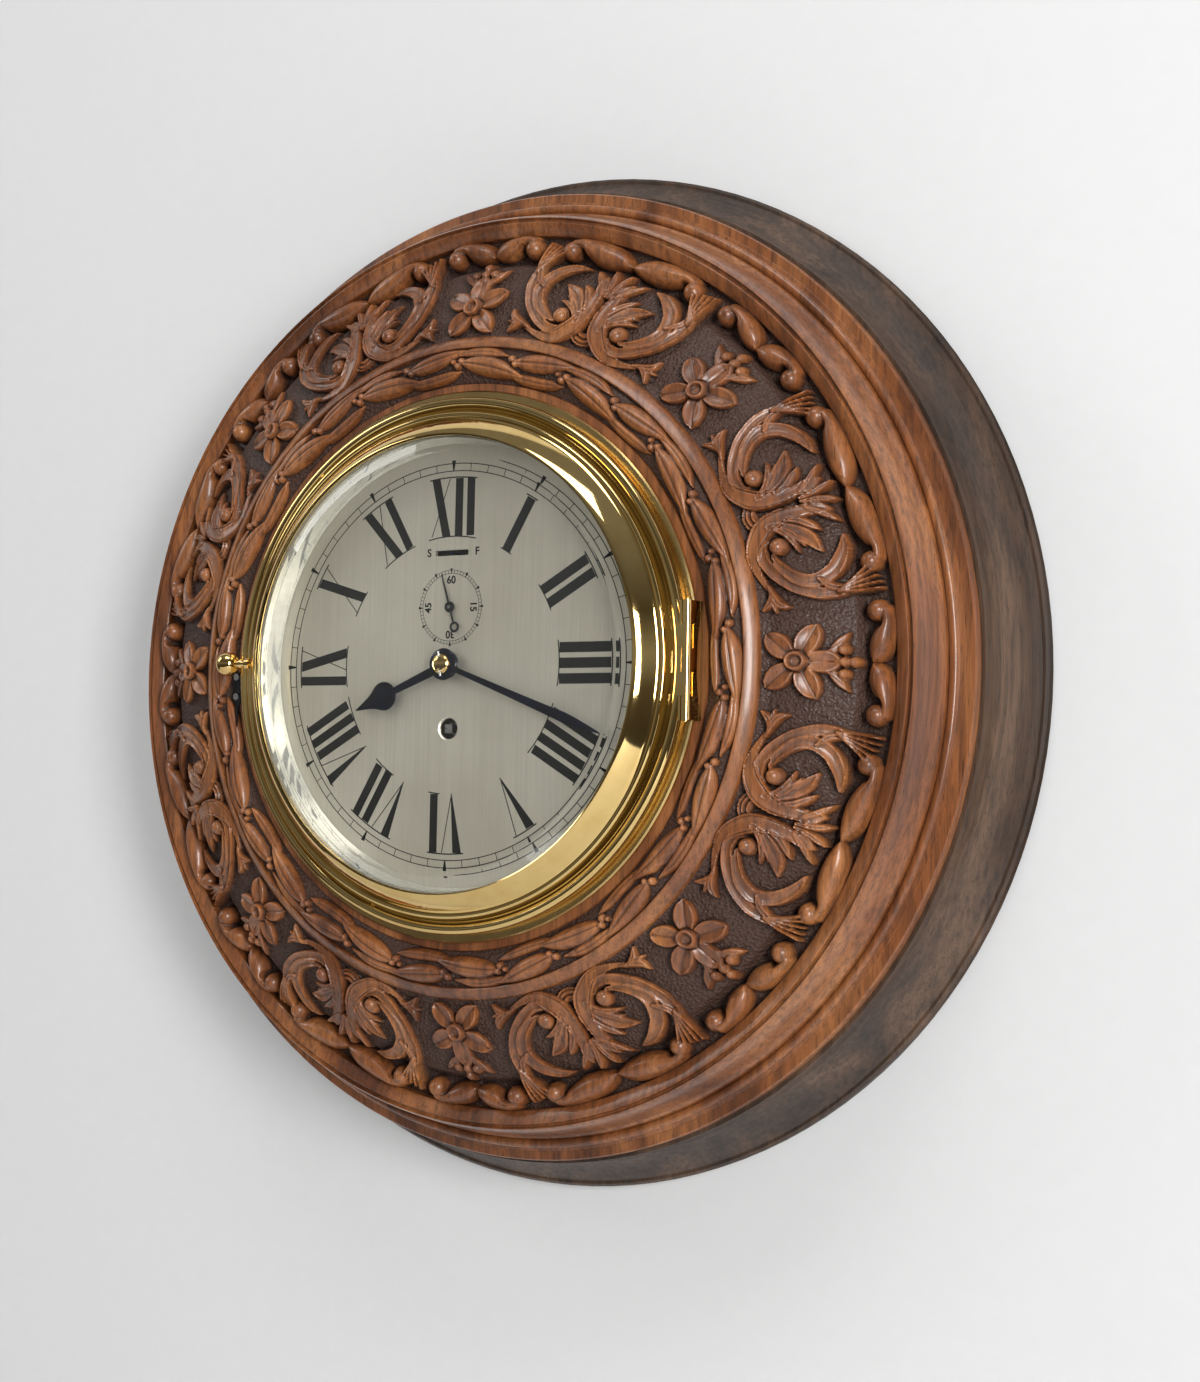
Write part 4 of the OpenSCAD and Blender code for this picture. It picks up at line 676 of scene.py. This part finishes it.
def carved_unit():
    """Angles, radii, heights and painted hollow shade of half a unit of carving, from a scroll's axis to a
    flower's.

    Its rows run outwards."""
    angle = np.radians(np.linspace(0, HALF_UNIT, COLUMNS))[None, :]
    radius = np.linspace(FRIEZE_IN + 0.2, BORDER_OUT + 0.3, FRIEZE_ROWS)[:, None]
    x, y = radius * np.sin(angle), radius * np.cos(angle)
    t = (radius - FRIEZE_IN) / (FRIEZE_OUT - FRIEZE_IN)
    slope = np.where(t < 1, frieze_line(np.clip(t, 0, 1)),
                     FRIEZE_Z - FRIEZE_DROP - 0.62 * (radius - FRIEZE_OUT)) + 0 * angle
    ledge = np.clip((radius - FRIEZE_OUT + 1.5) / 4.5, 0, 1)
    ledge = ledge * ledge * (3 - 2 * ledge)
    ground = slope * (1 - ledge) + (CHANNEL_Z + 2 * (BORDER_OUT - radius) / 14) * ledge \
        - GROUND_SUNK * np.clip(t * 9, 0, 1)
    relief = frieze_relief(x, y)
    dots = np.random.default_rng(11).uniform(-1, 1, x.shape)
    low = ground + np.where((relief < 0.4) & (t < 1), GROUND_ROUGH * dots, 0)
    high = np.where(relief > 0.3, slope - GROUND_SUNK + relief, NOWHERE)
    rim = border_relief(x, y)
    high = np.maximum(high, np.where(rim > 0.3, CHANNEL_Z - BORDER_SUNK + rim, NOWHERE))
    z = softened(np.maximum(low, high), 1)
    # Painted shade: points sunk under their neighbours and all of the punched ground are marked to darken.
    hollow = np.clip(sunk(z, 3) / 3.2, 0, 1) ** 0.8
    hollow = np.maximum(hollow, np.where(low >= high, 0.72, 0))
    return np.degrees(angle) + 0 * x, radius + 0 * x, z, softened(hollow, 2)


def carved_sheet(angle, radius, z, hollow, floor_z):
    """A sheet of carving from its points, closed by a wall round its edge and a flat back."""
    rows, columns = z.shape
    let_go()
    bpy.ops.mesh.primitive_grid_add(x_subdivisions=columns - 1, y_subdivisions=rows - 1, size=1)
    piece = bpy.context.object
    turn = np.radians(angle)
    place_all(piece, np.stack([radius * np.sin(turn) * MM, -z * MM, radius * np.cos(turn) * MM], -1))
    # The hollow attribute carries the painted shade of the carving.
    mark = piece.data.attributes.new("hollow", "FLOAT", "POINT")
    mark.data.foreach_set("value", hollow.astype(np.float32).ravel())
    edit(piece)
    bpy.ops.mesh.region_to_loop()
    bpy.ops.mesh.extrude_edges_move()
    done()
    # The wall and back sink to the floor and get full painted shade.
    for i in [v.index for v in piece.data.vertices if v.select]:
        piece.data.vertices[i].co.y = -floor_z * MM
        piece.data.attributes["hollow"].data[i].value = 1.0
    bpy.ops.object.mode_set(mode="EDIT")
    bpy.ops.mesh.edge_face_add()
    turn_faces_out()
    return piece


unit_angle, *unit_fields = carved_unit()
mirrored_fields = [np.concatenate([np.flip(field, 1), field[:, 1:]], 1) for field in unit_fields]
mirrored_angle = np.concatenate([-np.flip(unit_angle, 1), unit_angle[:, 1:]], 1)
for k in range(UNITS):
    sheet = carved_sheet(mirrored_angle + HALF_UNIT + 2 * HALF_UNIT * k, *mirrored_fields, FRIEZE_FLOOR)
    settle(sheet, f"frieze_carving_{k + 1}", "case", CARVED, 60)


# Laurel band: large leaves in two rows, tips clockwise, small leaves behind them and berries between.
# Its strokes and berries are given by degrees and radius.

LAUREL_PITCH, LAUREL_ROWS, LAUREL_COLUMNS = 24.0, 44, 160
LAUREL_PIECES, UNITS_PER_PIECE = 3, 5
LAUREL_TURN = 1.0  # degrees from the top to the first unit
LAUREL_STROKES = [
    ([(9.6, 148.6), (12.5, 146.8), (16.5, 146.4), (20.5, 147.6), (23, 149)],
     (0.8, 3.0, 3.2, 0.4), (2.8, 3.6, 2.6), leaf_cut),
    ([(-2.5, 157.6), (1.5, 158.8), (5.5, 158.6), (9.5, 157.0)],
     (0.8, 3.0, 3.0, 0.4), (2.6, 3.8, 2.6), leaf_cut),
    ([(-0.8, 153.4), (2.4, 152.2), (6.2, 150.8), (10, 149.2), (13.8, 147.4)],
     (0.9, 4.6, 5.4, 3.8, 0.4), (3.6, 5.6, 5.4, 3.2), leaf_cut),
    ([(11.0, 154.4), (14.2, 155.2), (17.5, 156.4), (20.8, 158), (24.2, 160)],
     (0.9, 4.6, 5.2, 3.6, 0.4), (3.4, 5.6, 5.2, 3.0), leaf_cut),
]
LAUREL_BERRIES = [(10.6, 155.8, 2.0), (11.6, 153.2, 1.7), (22.6, 151.6, 2.0), (23.4, 154.2, 1.8),
                  (21.6, 153.9, 1.5)]


def laurel_unit():
    """Angles, radii, heights and painted hollow shade of one unit of the laurel band."""
    angle = np.radians(np.linspace(0, LAUREL_PITCH, LAUREL_COLUMNS + 1))[None, :]
    radius = np.linspace(LAUREL_IN + 0.3, FILLET_IN - 0.3, LAUREL_ROWS)[:, None]
    x, y = radius * np.sin(angle), radius * np.cos(angle)
    t = (radius - LAUREL_IN) / (FILLET_IN - LAUREL_IN)
    ground = SEAT_Z - 1.6 + 3.2 * np.sin(math.pi * np.clip(t, 0, 1)) + 0 * x
    relief = np.zeros_like(x)
    for shift in (-LAUREL_PITCH, 0, LAUREL_PITCH):
        for points, widths, heights, section in LAUREL_STROKES:
            moved = [(turn + shift, r - FRIEZE_IN) for turn, r in points]
            carve(x, y, relief, on_scroll(moved, widths, heights), section)
        for turn, r, size in LAUREL_BERRIES:
            knob(x, y, relief, *polar(turn + shift, r), size, 5.2, 1.6)
    z = softened(ground + relief * 0.85, 1)
    # Painted shade: sunk points and the ground between the leaves are marked to darken.
    hollow = np.clip(sunk(z, 2) / 1.5, 0, 1)
    hollow = np.maximum(hollow, np.where(relief < 0.2, 0.75, 0))
    return np.degrees(angle) + 0 * x, radius + 0 * x, z, softened(hollow, 1)


def repeated(field, step=0.0):
    """The field set side by side with itself, each time with step added, and its shared column once."""
    return np.concatenate([field[:, min(i, 1):] + step * i for i in range(UNITS_PER_PIECE)], 1)


laurel_angle, *laurel_fields = laurel_unit()
for k in range(LAUREL_PIECES):
    fan = repeated(laurel_angle, LAUREL_PITCH) + 360 // LAUREL_PIECES * k + LAUREL_TURN
    sheet = carved_sheet(fan, *map(repeated, laurel_fields), SEAT_Z - LOWERED - 1)
    settle(sheet, f"laurel_carving_{k + 1}", "case", CARVED, 60)


# Turned brass bezel

def bezel_profile():
    """Section of the bezel, from its foot up the inside, over the lip, the cove and the roll."""
    ring = [(BEZEL_IN, BEZEL_Z + 0.1), (BEZEL_IN, LIP_Z - 2.3), (LIP_R + 0.1, LIP_Z - 2.2),
            (LIP_R, LIP_Z - 2.1), (LIP_R, LIP_Z - 0.5), (LIP_R + 0.25, LIP_Z - 0.05)]
    ring += [(LIP_R + 0.8 + 8.4 * t, LIP_Z + 0.15 - (LIP_Z - CREST_Z - 0.6) * t ** 1.35)
             for t in along(24, 0, 1)]
    ring += [(LIP_R + 11.5 + 1.7 * math.cos(a), CREST_Z + 1.7 * math.sin(a) - 0.9)
             for a in along(12, math.radians(140), math.radians(0))]
    ring += [(LIP_R + 13.4, CREST_Z - 2.6), (LIP_R + 13.8, CREST_Z - 3.6), (LIP_R + 14.8, ROLL_Z + 0.8)]
    ring += [(BEZEL_R - ROLL_R + ROLL_R * math.cos(a), ROLL_Z + ROLL_R * math.sin(a))
             for a in along(18, math.radians(150), math.radians(-60))]
    ring += [(BEZEL_R - 1.6, BEZEL_Z + 0.1)]
    return ring


bezel = spin_ring(bezel_profile())
edit(bezel)
bpy.ops.mesh.bisect(plane_co=face(HINGE_FLAT_X, 0, 0), plane_no=(1, 0, 0), clear_outer=True, use_fill=True)
done()
settle(bezel, "bezel_turning", "bezel_assembly", BEZEL_BRASS, 35, ["bezel"])


# Wax filled engraving of the dial: thin inlays that lie on its face

MARK_Z, MARK_T = DIAL_Z + 0.02, 0.05
NUMERAL_IN, NUMERAL_OUT = 64.8, 94.0
HAIR, BROAD_STEM, STEM, LETTER_GAP = 0.5, 5.1, 4.6, 2.5
V_WIDTH, X_WIDTH = 12.4, 12.2
SERIF_PAST, FOOT_PAST = 1.3, 1.1  # how far the serifs reach past the letters
NUMERALS = ("XII", "I", "II", "III", "IIII", "V", "VI", "VII", "VIII", "IX", "X", "XI")
TRACK_IN, TRACK_OUT, TRACK_LINE, MINUTE_LINE = 97.8, 101.6, 0.46, 0.36
SECONDS_IN, SECONDS_OUT, SECONDS_LINE = 17.0, 18.7, 0.22
SECONDS_NUMBERS_R, NUMBER_SIZE = 13.6, 5.4
REGULATOR_LETTERS = (("slow_letter", "S", -13.8), ("fast_letter", "F", 15.3))
REGULATOR_LETTERS_Y, LETTER_SIZE = 56.6, 5.6
LETTER_BOLD = 0.14


def inlay(name, outlines):
    """One piece of thin flat shapes, each drawn by its corners (x, y)."""
    piece = joined(*[flat_shape(outline, MARK_Z) for outline in outlines])
    thicken(piece, MARK_T)
    settle(piece, name, "case", DIAL_INK, 0)


def turned_about(points, turn, centre=(0, 0)):
    """Points (across, outwards) set upright at a clock angle."""
    a = math.radians(turn)
    return [(centre[0] + x * math.cos(a) + y * math.sin(a), centre[1] - x * math.sin(a) + y * math.cos(a))
            for x, y in points]


def bar(x0, y0, x1, y1, w0, w1=None):
    """A straight stroke between two points, w0 wide at its start and w1 at its end, measured level."""
    w1 = w0 if w1 is None else w1
    return [(x0 - w0 / 2, y0), (x0 + w0 / 2, y0), (x1 + w1 / 2, y1), (x1 - w1 / 2, y1)]


def serif(x0, x1, y, thick):
    """A thin line from x0 to x1 that follows the circle of radius y."""
    outer = [(x, y + thick) for x in along(5, x0, x1)]
    inner = [(x, y) for x in reversed(along(5, x0, x1))]
    return [(px, math.sqrt(max(py * py - px * px, 1))) for px, py in inner + outer]


def numeral(text, turn):
    """Strokes of one numeral, feet to the centre."""
    stem = BROAD_STEM if set(text) == {"I"} and len(text) < 4 else STEM
    widths = [{"I": stem, "V": V_WIDTH, "X": X_WIDTH}[c] for c in text]
    start = -(sum(widths) + LETTER_GAP * (len(text) - 1)) / 2
    x = start
    strokes, feet = [], []
    for c, w in zip(text, widths):
        m = x + w / 2
        if c == "I":
            strokes.append(bar(m, NUMERAL_IN, m, NUMERAL_OUT, stem))
        elif c == "V":
            strokes.append(bar(m + 0.6, NUMERAL_IN - 0.4, x + 2.6, NUMERAL_OUT, 0.5, 5.2))
            strokes.append(bar(m + 0.7, NUMERAL_IN + 1.6, x + w - 0.6, NUMERAL_OUT, HAIR))
        else:
            strokes.append(bar(x + w - 2.6, NUMERAL_IN, x + 2.6, NUMERAL_OUT, 5.0))
            strokes.append(bar(x + 0.8, NUMERAL_IN, x + w - 1.0, NUMERAL_OUT, HAIR))
        if c != "V":
            feet += [x, x + w]
        x += w + LETTER_GAP
    strokes.append(serif(start - SERIF_PAST, x - LETTER_GAP + SERIF_PAST, NUMERAL_OUT + 0.3, 0.65))
    if feet:
        strokes.append(serif(min(feet) - FOOT_PAST, max(feet) + FOOT_PAST, NUMERAL_IN - 0.3, 0.6))
    return [turned_about(stroke, turn) for stroke in strokes]


def scale_marks(r_in, r_out, line, wedge_out, wedge_in_w, wedge_out_w, centre=(0, 0)):
    """Sixty lines between two radii and twelve wedges that reach further out."""
    wedge = bar(0, r_in, 0, wedge_out, wedge_in_w, wedge_out_w)
    return [turned_about(bar(0, r_in, 0, r_out, line), 6 * k, centre) for k in range(60)] \
        + [turned_about(wedge, 30 * k, centre) for k in range(12)]


def drawn_circle(name, radius, width, centre=(0.0, 0.0), steps=180):
    half = width / 2
    ring = spin_ring([(radius - half, MARK_Z), (radius + half, MARK_Z), (radius + half, MARK_Z + MARK_T),
                      (radius - half, MARK_Z + MARK_T)], steps, centre)
    settle(ring, name, "case", DIAL_INK, 0)


def engraved(name, text, size, x, y, turn=0.0):
    """A letter or number on the dial, upright at its clock angle."""
    let_go()
    bpy.ops.object.text_add(location=face(x, y, MARK_Z), rotation=(math.radians(90), math.radians(turn), 0))
    piece = bpy.context.object
    piece.data.body, piece.data.size = text, size * MM
    piece.data.align_x, piece.data.align_y = "CENTER", "CENTER"
    piece.data.extrude = MARK_T * MM / 2
    piece.data.offset = LETTER_BOLD * MM
    bpy.ops.object.convert(target="MESH")
    settle(piece, name, "case", DIAL_INK, 0)


inlay("hour_numerals", [stroke for hour, text in enumerate(NUMERALS) for stroke in numeral(text, 30 * hour)])
inlay("minute_marks", scale_marks(TRACK_IN, TRACK_OUT, MINUTE_LINE, TRACK_OUT + 1.5, 0.7, 2.3))
drawn_circle("track_inner_line", TRACK_IN, TRACK_LINE)
drawn_circle("track_outer_line", TRACK_OUT, TRACK_LINE)
drawn_circle("seconds_inner_line", SECONDS_IN, SECONDS_LINE, SECONDS_AT, 96)
drawn_circle("seconds_outer_line", SECONDS_OUT, SECONDS_LINE, SECONDS_AT, 96)
inlay("seconds_marks", scale_marks(SECONDS_IN, SECONDS_OUT, SECONDS_LINE, 19.6, 0.3, 1.3, SECONDS_AT))
for name, text, x in REGULATOR_LETTERS:
    engraved(name, text, LETTER_SIZE, x, REGULATOR_LETTERS_Y)
for text, turn in (("60", 0), ("15", 90), ("30", 180), ("45", 270)):
    x, y = polar(turn, SECONDS_NUMBERS_R)
    engraved(f"seconds_{text}", text, NUMBER_SIZE, x, SECONDS_AT[1] + y, turn)


# Hands: thin steel blades with softly bevelled edges, fixed on their bosses

HAND_T, HAND_EASE = 1.1, 0.28
HEART_Y, HEART_R = 41, 7.3  # round part of the hour hand's spade


def blade(outline, turn, low):
    """A flat hand from its outline (across, outwards), turned to its clock angle and bevelled."""
    piece = flat_shape(turned_about(outline, turn), low)
    thicken(piece, HAND_T)
    take(piece)
    soft = piece.modifiers.new("edge", "BEVEL")
    soft.width, soft.segments = HAND_EASE * MM, 2
    soft.limit_method, soft.angle_limit = "ANGLE", math.radians(50)
    bpy.ops.object.modifier_apply(modifier="edge")
    return piece


def boss(low, high, r_out, r_in):
    """Domed collar of a hand."""
    rise = high - low
    dome = [(r_in + (r_out - r_in) * math.cos(a), low + rise * (0.35 + 0.65 * math.sin(a)))
            for a in along(10, 0, math.radians(84))]
    return spin_ring([(r_in, low), (r_out, low)] + dome + [(r_in, high)], 64)


def mirrored_outline(side):
    """Closed outline from its right side, from the centre outwards."""
    return side + [(-x, y) for x, y in reversed(side)]


spade = [(2.3, 4.0), (2.25, 12), (2.0, 24), (1.7, 34.0)]
spade += [(HEART_R * math.cos(a), HEART_Y + HEART_R * math.sin(a))
          for a in along(10, math.radians(-66), math.radians(38))]
spade += [(4.2, 48.0), (2.9, 51.0), (1.7, 54.8), (0.8, 58.0), (0.25, 60.0)]
hour = blade(mirrored_outline(spade), HOUR_ANGLE, HOUR_LOW)
hour = joined(boss(HOUR_LOW, HOUR_LOW + 1.2, 7.2, 3.52), hour)
settle(hour, "hour_hand_blade", "hour_work", HAND_BLACK, 40, ["hour_hand"])
lance = [(1.25, 3.0), (1.45, 20), (1.75, 42), (2.15, 62), (2.55, 76), (2.2, 82), (1.1, 92), (0.2, 98)]
minute = blade(mirrored_outline(lance), MINUTE_ANGLE, MINUTE_LOW)
minute = joined(boss(MINUTE_LOW, MINUTE_LOW + 1.6, 8.0, 2.22), minute)
settle(minute, "minute_hand_blade", "centre_work", HAND_BLACK, 40, ["minute_hand"])


# Camera, light and stage, in metres

CAMERA_AT = (0.5706, -0.9258, -0.0599)
AZIMUTH, ELEVATION, ROLL = math.radians(30.68), math.radians(-2.79), math.radians(1.15)
FOCAL_LENGTH, SENSOR = 51.567, 36.0
LAMPS = (  # name, place, watts, width, height
    ("key_lamp", (2.0, -1.7, 0.25), 50, 0.6, 1.2),
    ("fill_lamp", (-2.3, -1.2, 1.3), 15, 1.0, 1.2),
    ("top_lamp", (0.4, -1.2, 2.2), 18, 1.4, 0.8),
)
WORLD_STRENGTH, DAYLIGHT = 0.42, grey(0.80)
REAR_GAP = 0.05  # light that starts this near passes the wall, so that the back of the clock isn't black
WALL_SIZE, WALL_BEHIND, WALL_TONE = 6, 0.0006, 0.74
FLOOR_SIZE, FLOOR_Z, FLOOR_TONE = 3.2, -0.85, 0.72

back = Vector((math.sin(AZIMUTH) * math.cos(ELEVATION), -math.cos(AZIMUTH) * math.cos(ELEVATION),
               math.sin(ELEVATION)))
level = Vector((0, 0, 1)).cross(back).normalized()
upward = back.cross(level)
right = math.cos(ROLL) * level + math.sin(ROLL) * upward
up = -math.sin(ROLL) * level + math.cos(ROLL) * upward
lens = bpy.data.cameras.new("photo_camera")
lens.lens, lens.sensor_width, lens.sensor_fit = FOCAL_LENGTH, SENSOR, "AUTO"
lens.clip_start = 0.01
camera = bpy.data.objects.new("photo_camera", lens)
bpy.context.scene.collection.objects.link(camera)
camera.matrix_world = Matrix.Translation(CAMERA_AT) @ Matrix((right, up, back)).transposed().to_4x4()
bpy.context.scene.camera = camera

for name, at, power, width, height in LAMPS:
    let_go()
    bpy.ops.object.light_add(type="AREA", location=at)
    lamp = bpy.context.object
    lamp.name = lamp.data.name = name
    lamp.data.shape = "RECTANGLE"
    lamp.data.size, lamp.data.size_y = width, height
    lamp.data.energy = power
    lamp.rotation_euler = (-Vector(at)).to_track_quat("-Z", "Y").to_euler()

# Even daylight, but polished pieces see a room that is bright at eye level
bpy.context.scene.view_settings.view_transform = "Standard"
world = bpy.data.worlds.new("studio")
world.use_nodes = True
bpy.context.scene.world = world
sky = world.node_tree
sky.nodes["Background"].inputs["Strength"].default_value = WORLD_STRENGTH
rays = add(sky, "ShaderNodeLightPath").outputs["Is Glossy Ray"]
heading = add(sky, "ShaderNodeSeparateXYZ", {"Vector": add(sky, "ShaderNodeTexCoord").outputs["Generated"]})
height = add(sky, "ShaderNodeMapRange", {"Value": heading.outputs["Z"], "From Min": -0.6, "From Max": 0.8})
room = shades(sky, height.outputs["Result"], [(0.0, (0.06, 0.05, 0.04)), (0.36, (0.20, 0.18, 0.15)),
                                              (0.5, (0.60, 0.60, 0.58)), (0.68, (0.16, 0.15, 0.13)),
                                              (1.0, grey(0.5))])
sky.links.new(mixed(sky, rays, DAYLIGHT, room), sky.nodes["Background"].inputs["Color"])


def stage_finish(name, tone, one_sided=False):
    """Plain paint; a one-sided wall can't be seen from behind."""
    finish, tree, shader = new_finish(name)
    speck = grain(tree, 90, detail=2)
    tree.links.new(greys(tree, speck, (0.3, tone * 0.985), (0.7, tone)), shader.inputs["Base Color"])
    shader.inputs["Roughness"].default_value = 0.9
    if one_sided:
        behind = add(tree, "ShaderNodeNewGeometry").outputs["Backfacing"]
        ray = add(tree, "ShaderNodeLightPath").outputs
        near = add(tree, "ShaderNodeMath", {0: ray["Ray Length"], 1: REAR_GAP}, operation="LESS_THAN")
        lit = add(tree, "ShaderNodeMath", {0: near.outputs["Value"], 1: ray["Is Camera Ray"]},
                  operation="SUBTRACT")
        either = add(tree, "ShaderNodeMath", {0: behind, 1: lit.outputs["Value"]}, operation="MAXIMUM")
        see_through_where(tree, shader, either.outputs["Value"])
    return finish


let_go()
bpy.ops.mesh.primitive_plane_add(size=WALL_SIZE, location=(0, WALL_BEHIND, 0),
                                 rotation=(math.radians(90), 0, 0))
wall = bpy.context.object
wall.name = "room_wall"
wall.data.materials.append(stage_finish("wall_paint", WALL_TONE, True))
let_go()
bpy.ops.mesh.primitive_plane_add(size=FLOOR_SIZE, location=(0, 0, FLOOR_Z))
floor = bpy.context.object
floor.name = "room_floor"
floor.data.materials.append(stage_finish("floor_paint", FLOOR_TONE))
